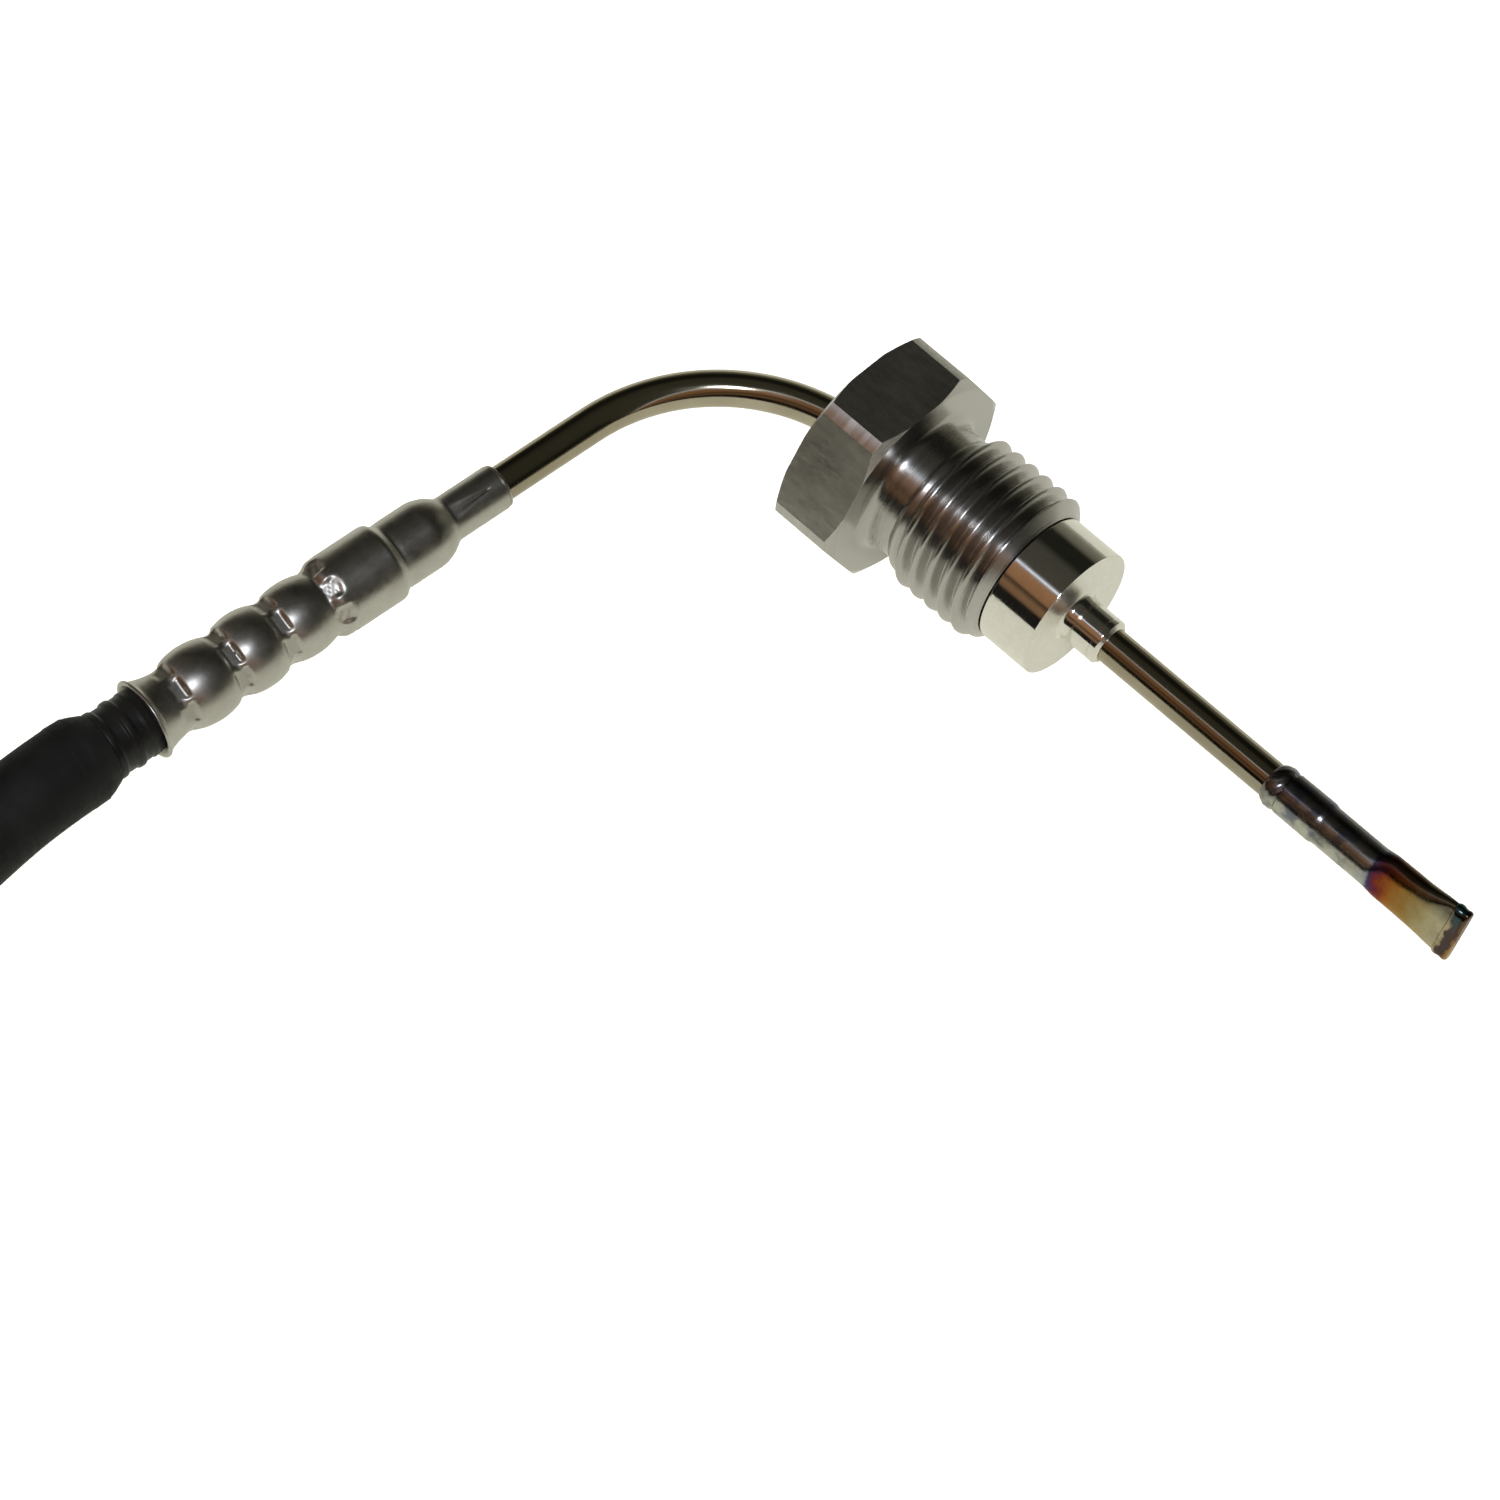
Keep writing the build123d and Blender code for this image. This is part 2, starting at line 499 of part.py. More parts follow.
def secondary_lock():
    """Bar that slides in below the terminals."""
    z = -CAVITY_R - LOCK_THICK / 2 - SLIP
    x0, x1 = -PLUG_WIDE / 2 + PLUG_WALL + SLIP, PLUG_WIDE / 2 + 0.6
    bar = block(x1 - x0, LOCK_THICK, LOCK_Y, LOCK_Y + LOCK_LONG, (x0 + x1) / 2, z)
    return PLUG * bar


def plug_latch():
    """Latch arm on a short post, which bends a little when the arm is pressed."""
    y_mid = PLUG_LONG - 6.0
    z0 = TOP + LATCH_RISE
    arm = block(LATCH_WIDE, LATCH_THICK, y_mid - LATCH_LONG * 0.55, y_mid + LATCH_LONG * 0.45, 0, z0 + LATCH_THICK / 2)
    post = block(LATCH_WIDE, LATCH_RISE - LATCH_FOOT_GAP, y_mid - LATCH_POST_LONG / 2, y_mid + LATCH_POST_LONG / 2,
                 0, TOP + (LATCH_RISE + LATCH_FOOT_GAP) / 2)
    pad_y = y_mid - LATCH_LONG * 0.55
    pad = block(LATCH_WIDE, LATCH_THICK + 0.7, pad_y, pad_y + 3.5, 0, z0 + (LATCH_THICK + 0.7) / 2)
    return PLUG * (arm + post + pad)


NODES = {
    "coupling_nut": coupling_nut, "seal_collar": seal_collar, "probe_sheath": probe_sheath,
    "sheath_insulation": sheath_insulation, "conductor_a": lambda: conductor(-1), "conductor_b": lambda: conductor(1),
    "tip_weld": tip_weld, "tip_sleeve": tip_sleeve, "end_weld": end_weld,
    "sensing_element": sensing_element, "element_cement": element_cement, "transition_sleeve": transition_sleeve, "cold_end_seal": cold_end_seal,
    "splice_spacer": splice_spacer, "splice_ferrule_a": lambda: splice_ferrule(-1),
    "splice_ferrule_b": lambda: splice_ferrule(1), "lead_wire_a": lambda: lead_wire(-1),
    "lead_wire_b": lambda: lead_wire(1), "seal_grommet": seal_grommet, "hose_front": lambda: hose(FRONT_ROUTE),
    "hose_coil": hose_coil, "hose_rear": lambda: hose(REAR_ROUTE), "plug_boot": plug_boot,
    "plug_housing": plug_housing, "plug_terminal_a": lambda: plug_terminal(-1),
    "plug_terminal_b": lambda: plug_terminal(1), "plug_wire_seal_a": lambda: plug_wire_seal(-1),
    "plug_wire_seal_b": lambda: plug_wire_seal(1), "plug_lead_a": lambda: plug_lead(-1),
    "plug_lead_b": lambda: plug_lead(1), "nose_seal": nose_seal, "secondary_lock": secondary_lock,
    "plug_latch": plug_latch,
}

os.makedirs("parts", exist_ok=True)
for node, make in NODES.items():
    write(node, make())
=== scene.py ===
from math import acos, atan2, cos, exp, hypot, pi, radians, sin, sqrt, tan

import bmesh
import bpy
from mathutils import Matrix, Vector


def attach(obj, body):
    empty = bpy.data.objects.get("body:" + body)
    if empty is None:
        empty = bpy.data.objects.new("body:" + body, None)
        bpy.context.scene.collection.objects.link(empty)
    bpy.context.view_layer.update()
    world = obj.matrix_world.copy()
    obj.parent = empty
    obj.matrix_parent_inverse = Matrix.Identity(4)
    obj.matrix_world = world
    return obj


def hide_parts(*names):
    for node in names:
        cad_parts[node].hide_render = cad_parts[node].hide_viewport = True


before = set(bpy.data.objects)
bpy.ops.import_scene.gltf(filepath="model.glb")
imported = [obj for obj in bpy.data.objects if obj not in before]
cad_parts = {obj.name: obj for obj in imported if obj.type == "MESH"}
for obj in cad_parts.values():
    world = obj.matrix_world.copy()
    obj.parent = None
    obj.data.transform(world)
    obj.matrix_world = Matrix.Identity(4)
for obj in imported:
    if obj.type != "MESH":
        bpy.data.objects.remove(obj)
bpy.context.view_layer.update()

# Lengths are named in millimetres and made metres by MM or mm().
MM = 0.001

# probe
SHEATH_R = 1.5
SHEATH_WALL = 0.45
SHEATH_FRONT = 24.0
BEND_START = 22.5
BEND_R = 16.5
BEND_ANGLE = radians(83.8)
DROOP = radians(3.5)
TAIL = 43.9
SHEATH_END = 28.0

# seal collar and nut
COLLAR_R = 5.8
COLLAR_LONG = 4.75
NECK_R = 2.0
NECK_LONG = 3.9
HUB_R = 2.3
HUB_LONG = 3.0
BORE_R = 2.6
THREAD_R = 6.975
THREAD_PITCH = 1.5
THREAD_DEPTH = 0.9
THREAD_LEAD = 0.35
THREAD_LONG = THREAD_LEAD + 6.4 * THREAD_PITCH
NUT_FRONT = -COLLAR_LONG - 0.1
THREAD_BACK = NUT_FRONT - THREAD_LONG
RELIEF_R = 5.9
HEX_FLATS = 17.7
HEX_LONG = 6.3
HEX_FRONT = THREAD_BACK - 2.5
HEX_BACK = HEX_FRONT - HEX_LONG
HEX_CORNER_R = 9.9
HEX_CHAMFER_R = 9.0

# tip
BEAD_X = 20.9
BEAD_LONG = 1.6
CAP_R = SHEATH_R + 0.31
CAP_STEP_X = 26.1
TIP_R = 1.72
TIP_WALL = 0.32
HOLLOW_END = 30.3
SQUEEZE_X = 31.2
SQUEEZE_HALF = 1.12
PINCH_X = 36.4
PINCH_END = 38.9
PINCH_HALF = 0.45
PINCH_TURN = radians(65.0)
END_BEAD_LONG = 1.3

# transition sleeve, measured from its open rim
SLEEVE_WALL = 0.5
RIM_R = 3.4
CREASES = [(2.7, 2.7), (7.8, 2.75), (12.5, 2.75), (16.9, 2.8)]
BULBS = [(5.3, 3.325), (10.2, 3.325), (14.7, 3.2)]
LONG_BULB = (17.9, 23.2, 3.36)
STEP_BACK = 26.7
STEP_R = 2.9
NECK = (29.4, 34.4, 1.925)
NECK_END = 34.8
JAWS = 8
FIRST_JAW = radians(198.0)
GROMMET_R = 2.775
GROMMET_RIBS = (-3.75, -2.05)
GROMMET_BACK = -4.2

# hose and plug
HOSE_R = 3.65
TABLE = -HEX_FLATS / 2
COIL_R = 36.5
COIL_CENTRE = (-80.3, -97.7)
COIL_LOW = TABLE + HOSE_R
COIL_HIGH = COIL_LOW + 2 * HOSE_R
PLUG = (-117.0, -49.5, TABLE + 6.0)
PLUG_WIDE = 15.0
PLUG_HIGH = 12.0
BOOT_LONG = 11.0
BOOT_GRIP_R = 4.9


def mm(x, y, z):
    return Vector((x, y, z)) * MM


def placed(name, data):
    made = bpy.data.objects.new(name, data)
    bpy.context.scene.collection.objects.link(made)
    return made


def axis_frame(origin, across, along):
    """A place whose local Z runs along, with X as near across as it can be."""
    z = along.normalized()
    x = (across - z * across.dot(z)).normalized()
    place = Matrix((x, z.cross(x), z)).transposed().to_4x4()
    place.translation = origin
    return place


TOWARDS = Vector((0, -cos(DROOP), -sin(DROOP)))
ACROSS = Vector((1, 0, 0)).cross(TOWARDS)
TAIL_DIR = Vector((-cos(BEND_ANGLE), 0, 0)) + TOWARDS * sin(BEND_ANGLE)
BEND_CENTRE = Vector((-BEND_START, 0, 0)) + TOWARDS * BEND_R


def on_bend(angle):
    """A point of the sheath's centre line, an angle past the start of the bend."""
    return BEND_CENTRE - TOWARDS * (BEND_R * cos(angle)) - Vector((BEND_R * sin(angle), 0, 0))


BEND_END = on_bend(BEND_ANGLE)
RIM = BEND_END + TAIL_DIR * TAIL
PROBE = axis_frame(Vector((0, 0, 0)), Vector((0, 1, 0)), Vector((1, 0, 0)))
SLEEVE = axis_frame(RIM * MM, ACROSS, -TAIL_DIR)


# ------ camera, table and light
def studio_camera():
    """Looks down on the probe from the right front, a little rolled."""
    turn, rise, roll = radians(37.70), radians(57.12), radians(8.01)
    level = Vector((cos(turn), sin(turn), 0))
    back = Vector((sin(turn) * cos(rise), -cos(turn) * cos(rise), sin(rise)))
    over = back.cross(level)
    right = level * cos(roll) + over * sin(roll)
    up = over * cos(roll) - level * sin(roll)
    data = bpy.data.cameras.new("studio_camera")
    data.sensor_width = 36.0
    data.lens = 153.576
    data.clip_start = 0.01
    data.clip_end = 20.0
    camera = placed("studio_camera", data)
    place = Matrix((right, up, back)).transposed().to_4x4()
    place.translation = mm(-11.4945, -23.7639, -7.6107) + back * 0.5
    camera.matrix_world = place
    bpy.context.scene.camera = camera
    return back


# ------ node helpers
def node(tree, kind, inputs=None, **settings):
    made = tree.nodes.new(kind)
    for name, value in settings.items():
        setattr(made, name, value)
    for key, value in (inputs or {}).items():
        feed(tree, made.inputs[key], value)
    return made


def feed(tree, socket, value):
    """Links a socket to a value that varies, or sets it. A colour is given without its alpha."""
    if isinstance(value, Wire):
        value = value.socket
    if isinstance(value, bpy.types.NodeSocket):
        tree.links.new(value, socket)
    elif socket.type == "RGBA":
        socket.default_value = (*value, 1)
    else:
        socket.default_value = value


class Wire:
    """A number that varies in a node tree. Each sign used on it makes a Math node."""

    def __init__(self, tree, socket):
        self.tree = tree
        self.socket = socket

    def __add__(self, other):
        return maths(self.tree, "ADD", self, other)

    def __sub__(self, other):
        return maths(self.tree, "SUBTRACT", self, other)

    def __rsub__(self, other):
        return maths(self.tree, "SUBTRACT", other, self)

    def __mul__(self, other):
        return maths(self.tree, "MULTIPLY", self, other)

    def __truediv__(self, other):
        return maths(self.tree, "DIVIDE", self, other)


def wires(tree, made):
    return {socket.name: Wire(tree, socket) for socket in made.outputs}


def maths(tree, operation, *values):
    made = node(tree, "ShaderNodeMath", dict(enumerate(values)), operation=operation)
    return Wire(tree, made.outputs[0])


def spread(tree, value, low, high, to_low, to_high):
    """value, from low to high, becomes a number from to_low to to_high."""
    made = node(tree, "ShaderNodeMapRange", {0: value, 1: low, 2: high, 3: to_low, 4: to_high})
    return Wire(tree, made.outputs[0])


def slope(tree, value, nought_at, one_at):
    """A mask that goes from 0 to 1 between two places in millimetres."""
    return spread(tree, value, nought_at * MM, one_at * MM, 0.0, 1.0)


def mixed(tree, share, first, second):
    made = node(tree, "ShaderNodeMix", data_type="RGBA")
    for place, value in {0: share, 6: first, 7: second}.items():
        feed(tree, made.inputs[place], value)
    return made.outputs[2]


def ramp(tree, value, stops):
    """A colour picked along stops of (place, red, green, blue)."""
    made = node(tree, "ShaderNodeValToRGB", {0: value})
    elements = made.color_ramp.elements
    while len(elements) > 1:
        elements.remove(elements[-1])
    elements[0].position = stops[0][0]
    elements[0].color = (*stops[0][1:], 1)
    for at, *colour in stops[1:]:
        elements.new(at).color = (*colour, 1)
    return made.outputs[0]


def own_place(tree):
    return node(tree, "ShaderNodeTexCoord").outputs["Object"]


def parted(tree, where):
    return wires(tree, node(tree, "ShaderNodeSeparateXYZ", {0: where}))


def dotted(tree, where, direction):
    """How far a place lies along a direction."""
    made = node(tree, "ShaderNodeVectorMath", {0: where, 1: direction}, operation="DOT_PRODUCT")
    return Wire(tree, made.outputs["Value"])


def noise(tree, where, scale, detail):
    made = node(tree, "ShaderNodeTexNoise", {"Vector": where, "Scale": scale, "Detail": detail})
    return Wire(tree, made.outputs[0])


def line_noise(tree, along, detail):
    inputs = {"W": along, "Scale": 1.0, "Detail": detail}
    made = node(tree, "ShaderNodeTexNoise", inputs, noise_dimensions="1D")
    return Wire(tree, made.outputs[0])


def new_group(kind, name, inputs, outputs):
    """A group whose inputs are named with their usual values. Its outputs are numbers, or one shape."""
    group = bpy.data.node_groups.new(name, kind)
    kinds = {float: "Float", int: "Int", tuple: "Vector", Vector: "Vector"}
    for label, value in inputs.items():
        socket = "NodeSocket" + kinds.get(type(value), "Material")
        group.interface.new_socket(label, in_out="INPUT", socket_type=socket).default_value = value
    socket = "NodeSocketFloat" if kind == "ShaderNodeTree" else "NodeSocketGeometry"
    for label in outputs:
        group.interface.new_socket(label, in_out="OUTPUT", socket_type=socket)
    start = group.nodes.new("NodeGroupInput")
    finish = group.nodes.new("NodeGroupOutput")
    return group, wires(group, start), finish.inputs


def turning_marks():
    """Fine rings left by a lathe, square to Axis."""
    inputs = {"Axis": (1, 0, 0), "Fine": 9000.0}
    tree, given, result = new_group("ShaderNodeTree", "turning_marks", inputs, ["Height", "Tone"])
    reach = dotted(tree, own_place(tree), given["Axis"])
    lines = line_noise(tree, reach * given["Fine"], 3.0)
    bands = line_noise(tree, reach * 900.0, 2.0)
    feed(tree, result["Height"], lines * 0.7 + bands * 0.3)
    feed(tree, result["Tone"], bands)
    return tree


def surface_grain():
    """Speckle, drawn out where Stretch is small."""
    inputs = {"Stretch": (1, 1, 1), "Fine": 8000.0, "Broad": 300.0}
    tree, given, result = new_group("ShaderNodeTree", "surface_grain", inputs, ["Height", "Speckle", "Clouds"])
    where = own_place(tree)
    drawn = node(tree, "ShaderNodeVectorMath", {0: where, 1: given["Stretch"]}, operation="MULTIPLY")
    fine = noise(tree, drawn.outputs[0], given["Fine"], 3.0)
    coarse = noise(tree, drawn.outputs[0], given["Fine"] * 0.27, 4.0)
    cloud = noise(tree, where, given["Broad"], 4.0)
    both = (fine + coarse) * 0.5
    feed(tree, result["Height"], both)
    feed(tree, result["Speckle"], spread(tree, both, 0.35, 0.65, 0.0, 1.0))
    feed(tree, result["Clouds"], spread(tree, cloud, 0.35, 0.65, 0.0, 1.0))
    return tree


TURNING = turning_marks()
GRAIN = surface_grain()


def new_material(name, **uniform):
    """A material with its shader; uniform holds sockets that are the same all over."""
    material = bpy.data.materials.new(name)
    material.use_nodes = True
    tree = material.node_tree
    shader = next(n for n in tree.nodes if n.type == "BSDF_PRINCIPLED")
    for label, value in uniform.items():
        shader.inputs[SOCKETS[label]].default_value = value
    return material, tree, shader


SOCKETS = {
    "metallic": "Metallic",
    "anisotropy": "Anisotropic",
    "anisotropy_turn": "Anisotropic Rotation",
    "specular": "Specular IOR Level",
    "roughness": "Roughness",
}


def effect(tree, group, **inputs):
    made = tree.nodes.new("ShaderNodeGroup")
    made.node_tree = group
    for label, value in inputs.items():
        feed(tree, made.inputs[label], value)
    return wires(tree, made)


def painted(tree, shader, colour, roughness):
    feed(tree, shader.inputs["Base Color"], colour)
    feed(tree, shader.inputs["Roughness"], roughness)


def bump(tree, shader, height, depth, strength, under=None):
    """Relief of depth millimetres, over the relief in under."""
    made = node(tree, "ShaderNodeBump", {"Height": height, "Distance": depth * MM, "Strength": strength})
    if under is not None:
        tree.links.new(under, made.inputs["Normal"])
    tree.links.new(made.outputs[0], shader.inputs["Normal"])
    return made.outputs[0]


# ------ finishes
def milled_steel():
    """The nut's hexagon: fine grain drawn along the flats."""
    material, tree, shader = new_material("milled_steel", metallic=1.0)
    grain = effect(tree, GRAIN, Stretch=(0.22, 1.0, 1.0), Fine=7000.0, Broad=260.0)
    speckle, clouds = grain["Speckle"], grain["Clouds"]
    tone = mixed(tree, speckle, (0.56, 0.55, 0.50), (0.68, 0.66, 0.605))
    tone = mixed(tree, clouds * 0.25, tone, (0.53, 0.51, 0.455))
    rough = spread(tree, speckle, 0, 1, 0.29, 0.37) + spread(tree, clouds, 0, 1, -0.02, 0.02)
    painted(tree, shader, tone, rough)
    bump(tree, shader, grain["Height"], 0.005, 0.7)
    return material


def turned_steel():
    """The nut's thread and relief: rings from the lathe, which draw gleams out along the axis."""
    material, tree, shader = new_material("turned_steel", metallic=1.0, anisotropy=0.75, anisotropy_turn=0.25)
    rings = effect(tree, TURNING, Axis=(1, 0, 0), Fine=11000.0)
    grain = effect(tree, GRAIN, Stretch=(1.0, 0.35, 0.35), Fine=6000.0, Broad=400.0)
    tone = mixed(tree, rings["Tone"], (0.38, 0.372, 0.35), (0.56, 0.55, 0.52))
    tone = mixed(tree, grain["Clouds"] * 0.25, tone, (0.42, 0.40, 0.36))
    painted(tree, shader, tone, spread(tree, rings["Tone"], 0.3, 0.7, 0.22, 0.32))
    round_axis = node(tree, "ShaderNodeTangent", direction_type="RADIAL", axis="X")
    tree.links.new(round_axis.outputs[0], shader.inputs["Tangent"])
    under = bump(tree, shader, rings["Height"], 0.016, 0.8)
    bump(tree, shader, grain["Height"], 0.002, 0.5, under)
    return material


def polished_steel():
    """The collar's turned sides, nearly a mirror, with a satin front face."""
    material, tree, shader = new_material("polished_steel", metallic=1.0)
    rings = effect(tree, TURNING, Axis=(1, 0, 0), Fine=16000.0)
    grain = effect(tree, GRAIN, Fine=5000.0, Broad=500.0)
    facing = parted(tree, node(tree, "ShaderNodeNewGeometry").outputs["Normal"])
    satin = spread(tree, facing["X"], 0.6, 0.9, 0.0, 1.0) * 0.24
    tone = mixed(tree, grain["Speckle"], (0.74, 0.725, 0.66), (0.82, 0.80, 0.735))
    painted(tree, shader, tone, satin + spread(tree, rings["Tone"], 0.3, 0.7, 0.055, 0.12))
    under = bump(tree, shader, rings["Height"], 0.0022, 0.6)
    bump(tree, shader, grain["Height"], 0.0015, 0.4, under)
    return material


def bronzed_steel():
    """The sheath: drawn bright tube, bronzed by heat, in bands along its length."""
    material, tree, shader = new_material("bronzed_steel", metallic=1.0)
    grain = effect(tree, GRAIN, Fine=6000.0, Broad=240.0)
    along = node(tree, "ShaderNodeAttribute", attribute_name="along").outputs["Fac"]
    tint = ramp(tree, along, [
        (0.0, 0.33, 0.30, 0.225),
        (0.14, 0.38, 0.345, 0.255),
        (0.26, 0.44, 0.39, 0.285),
        (0.62, 0.47, 0.43, 0.325),
        (0.80, 0.41, 0.375, 0.275),
        (1.0, 0.32, 0.285, 0.20),
    ])
    tone = mixed(tree, grain["Clouds"] * 0.35, tint, (0.25, 0.212, 0.145))
    painted(tree, shader, tone, spread(tree, grain["Clouds"], 0, 1, 0.10, 0.17))
    bump(tree, shader, grain["Height"], 0.0025, 0.5)
    return material


def heat_tinted_steel():
    """The tip: scale, blue and purple where it was coolest, then red, straw and bare metal."""
    material, tree, shader = new_material("heat_tinted_steel", metallic=1.0)
    grain = effect(tree, GRAIN, Fine=3800.0, Broad=620.0)
    where = own_place(tree)
    wander = noise(tree, where, 700.0, 3.0)
    along = parted(tree, where)["X"] + spread(tree, wander, 0.3, 0.7, -0.5 * MM, 0.5 * MM)
    tint = ramp(tree, slope(tree, along, 20.0, 41.0), [
        (0.0, 0.20, 0.16, 0.13),
        (0.07, 0.17, 0.15, 0.14),
        (0.10, 0.26, 0.25, 0.25),
        (0.29, 0.30, 0.295, 0.30),
        (0.34, 0.33, 0.33, 0.33),
        (0.52, 0.42, 0.43, 0.40),
        (0.555, 0.33, 0.35, 0.38),
        (0.57, 0.06, 0.05, 0.13),
        (0.59, 0.15, 0.025, 0.055),
        (0.615, 0.25, 0.05, 0.018),
        (0.66, 0.36, 0.135, 0.025),
        (0.72, 0.37, 0.21, 0.055),
        (0.80, 0.42, 0.34, 0.16),
        (0.87, 0.50, 0.455, 0.30),
        (0.895, 0.46, 0.40, 0.25),
        (0.905, 0.12, 0.06, 0.045),
        (0.925, 0.085, 0.055, 0.055),
        (0.945, 0.11, 0.06, 0.045),
        (0.96, 0.35, 0.21, 0.07),
        (1.0, 0.42, 0.30, 0.13),
    ])
    # painted reflection and shade: the low side is painted pale cream, as if mirroring the bright table, and
    # the upper side near black, as if mirroring the dark room
    low_side = dotted(tree, where, (0.0, -0.88, -0.47))
    coolest = slope(tree, along, 31.6, 30.2) * slope(tree, along, 20.8, 22.4)
    painted_floor_reflection = coolest * slope(tree, low_side, 0.15, 1.35)
    tone = mixed(tree, painted_floor_reflection, tint, (0.50, 0.505, 0.43))
    # painted shade: the upper side of the tip darkened to near black
    painted_room_shade = slope(tree, low_side, 0.1, -0.9) * 0.72
    tone = mixed(tree, painted_room_shade, tone, (0.045, 0.042, 0.045))
    patches = spread(tree, wander, 0.47, 0.62, 0.0, 0.75) * coolest
    tone = mixed(tree, patches, tone, (0.10, 0.12, 0.19))
    smoke = spread(tree, grain["Clouds"], 0.35, 1.0, 0.0, 0.55) * coolest
    tone = mixed(tree, smoke, tone, (0.17, 0.14, 0.09))
    end_bead_only = slope(tree, along, 38.85, 39.1) * slope(tree, along, 39.85, 39.55)
    teal = end_bead_only * spread(tree, low_side, -1.6 * MM, 0.2 * MM, 0.85, 0.15)
    tone = mixed(tree, teal, tone, (0.07, 0.16, 0.17))
    soot = mixed(tree, 0.5, tone, (0.02, 0.018, 0.02))
    tone = mixed(tree, grain["Speckle"] * 0.3, tone, soot)
    painted(tree, shader, tone, spread(tree, grain["Clouds"], 0, 1, 0.16, 0.30))
    bump(tree, shader, grain["Height"], 0.012, 0.7)
    return material


def satin_steel():
    """The transition sleeve: pressed stainless, satin, a little smudged."""
    material, tree, shader = new_material("satin_steel", metallic=1.0)
    grain = effect(tree, GRAIN, Fine=5200.0, Broad=330.0)
    speckle, clouds = grain["Speckle"], grain["Clouds"]
    tone = mixed(tree, speckle, (0.46, 0.45, 0.405), (0.53, 0.52, 0.47))
    tone = mixed(tree, clouds * 0.3, tone, (0.42, 0.40, 0.35))
    rough = spread(tree, speckle, 0, 1, 0.30, 0.36) + spread(tree, clouds, 0, 1, -0.03, 0.04)
    painted(tree, shader, tone, rough)
    bump(tree, shader, grain["Height"], 0.005, 0.6)
    return material


def soft_material(name, dark, light, rough, fine, broad, depth, specular):
    """Rubber, plastic or ceramic: two near tones, speckled, rough from the first number to the second."""
    material, tree, shader = new_material(name, specular=specular)
    grain = effect(tree, GRAIN, Fine=fine, Broad=broad)
    tone = mixed(tree, grain["Clouds"], dark, light)
    painted(tree, shader, tone, spread(tree, grain["Speckle"], 0, 1, *rough))
    bump(tree, shader, grain["Height"], depth, 0.8)
    return material


def wire_metal(name, dark, light):
    """Drawn wire and pins, with faint rings."""
    material, tree, shader = new_material(name, metallic=1.0)
    grain = effect(tree, GRAIN, Stretch=(1.0, 0.2, 1.0), Fine=7000.0, Broad=500.0)
    tone = mixed(tree, grain["Speckle"], dark, light)
    painted(tree, shader, tone, spread(tree, grain["Clouds"], 0, 1, 0.2, 0.32))
    bump(tree, shader, grain["Height"], 0.004, 0.5)
    return material


MILLED = milled_steel()
TURNED = turned_steel()
POLISHED = polished_steel()
BRONZED = bronzed_steel()
TINTED = heat_tinted_steel()
SATIN = satin_steel()
RUBBER = soft_material(
    "grommet_rubber", (0.0025, 0.0025, 0.0024), (0.0055, 0.0055, 0.005), (0.34, 0.46),
    3000.0, 300.0, 0.012, 0.28)
HOSE = soft_material(
    "hose_rubber", (0.003, 0.0032, 0.003), (0.006, 0.0063, 0.006), (0.55, 0.7), 2600.0, 220.0, 0.03, 0.2)
PLASTIC = soft_material(
    "moulded_plastic", (0.018, 0.018, 0.019), (0.028, 0.028, 0.028), (0.36, 0.5), 2200.0, 160.0, 0.02, 0.5)
LOCK = soft_material(
    "lock_plastic", (0.62, 0.60, 0.54), (0.70, 0.68, 0.62), (0.38, 0.5), 2200.0, 160.0, 0.02, 0.5)
SILICONE = soft_material(
    "seal_silicone", (0.36, 0.10, 0.045), (0.46, 0.145, 0.07), (0.35, 0.5), 3000.0, 260.0, 0.012, 0.4)
POWDER = soft_material(
    "packed_powder", (0.72, 0.70, 0.66), (0.84, 0.83, 0.79), (0.85, 0.95), 2600.0, 420.0, 0.04, 0.2)
CERAMIC = soft_material(
    "fired_ceramic", (0.80, 0.78, 0.72), (0.88, 0.87, 0.82), (0.45, 0.6), 3200.0, 380.0, 0.02, 0.5)
FUSED = soft_material(
    "fused_seal", (0.06, 0.10, 0.08), (0.12, 0.19, 0.15), (0.08, 0.14), 1800.0, 420.0, 0.01, 0.5)
WIRE_WHITE = soft_material(
    "wire_white", (0.74, 0.74, 0.71), (0.83, 0.83, 0.80), (0.30, 0.4), 2600.0, 260.0, 0.01, 0.5)
WIRE_GREY = soft_material(
    "wire_grey", (0.16, 0.16, 0.17), (0.22, 0.22, 0.23), (0.30, 0.4), 2600.0, 260.0, 0.01, 0.5)
NICKEL = wire_metal("nickel_wire", (0.52, 0.49, 0.44), (0.66, 0.63, 0.58))
TINNED = wire_metal("tinned_brass", (0.62, 0.59, 0.50), (0.76, 0.73, 0.64))


# ------ making skins
def ring(place, along, radius, around, shift=None):
    """Points round place's Z at height along. shift may change a point's radius."""
    points = []
    for k in range(around):
        angle = 2 * pi * k / around
        r = radius if shift is None else shift(angle, along, radius)
        points.append(place @ mm(r * cos(angle), r * sin(angle), along))
    return points


def skin(name, rings, finish, loop=False, crisp=35.0):
    """A closed mesh through rings of points. A ring of one point is a pole."""
    cloth = bmesh.new()
    made = [[cloth.verts.new(p) for p in points] for points in rings]
    pairs = list(zip(made, made[1:])) + ([(made[-1], made[0])] if loop else [])
    for low, high in pairs:
        count = max(len(low), len(high))
        for k in range(count):
            after = k + 1
            corners = [low[k % len(low)], low[after % len(low)], high[after % len(high)], high[k % len(high)]]
            cloth.faces.new(list(dict.fromkeys(corners)))
    return settled(name, cloth, finish, crisp)


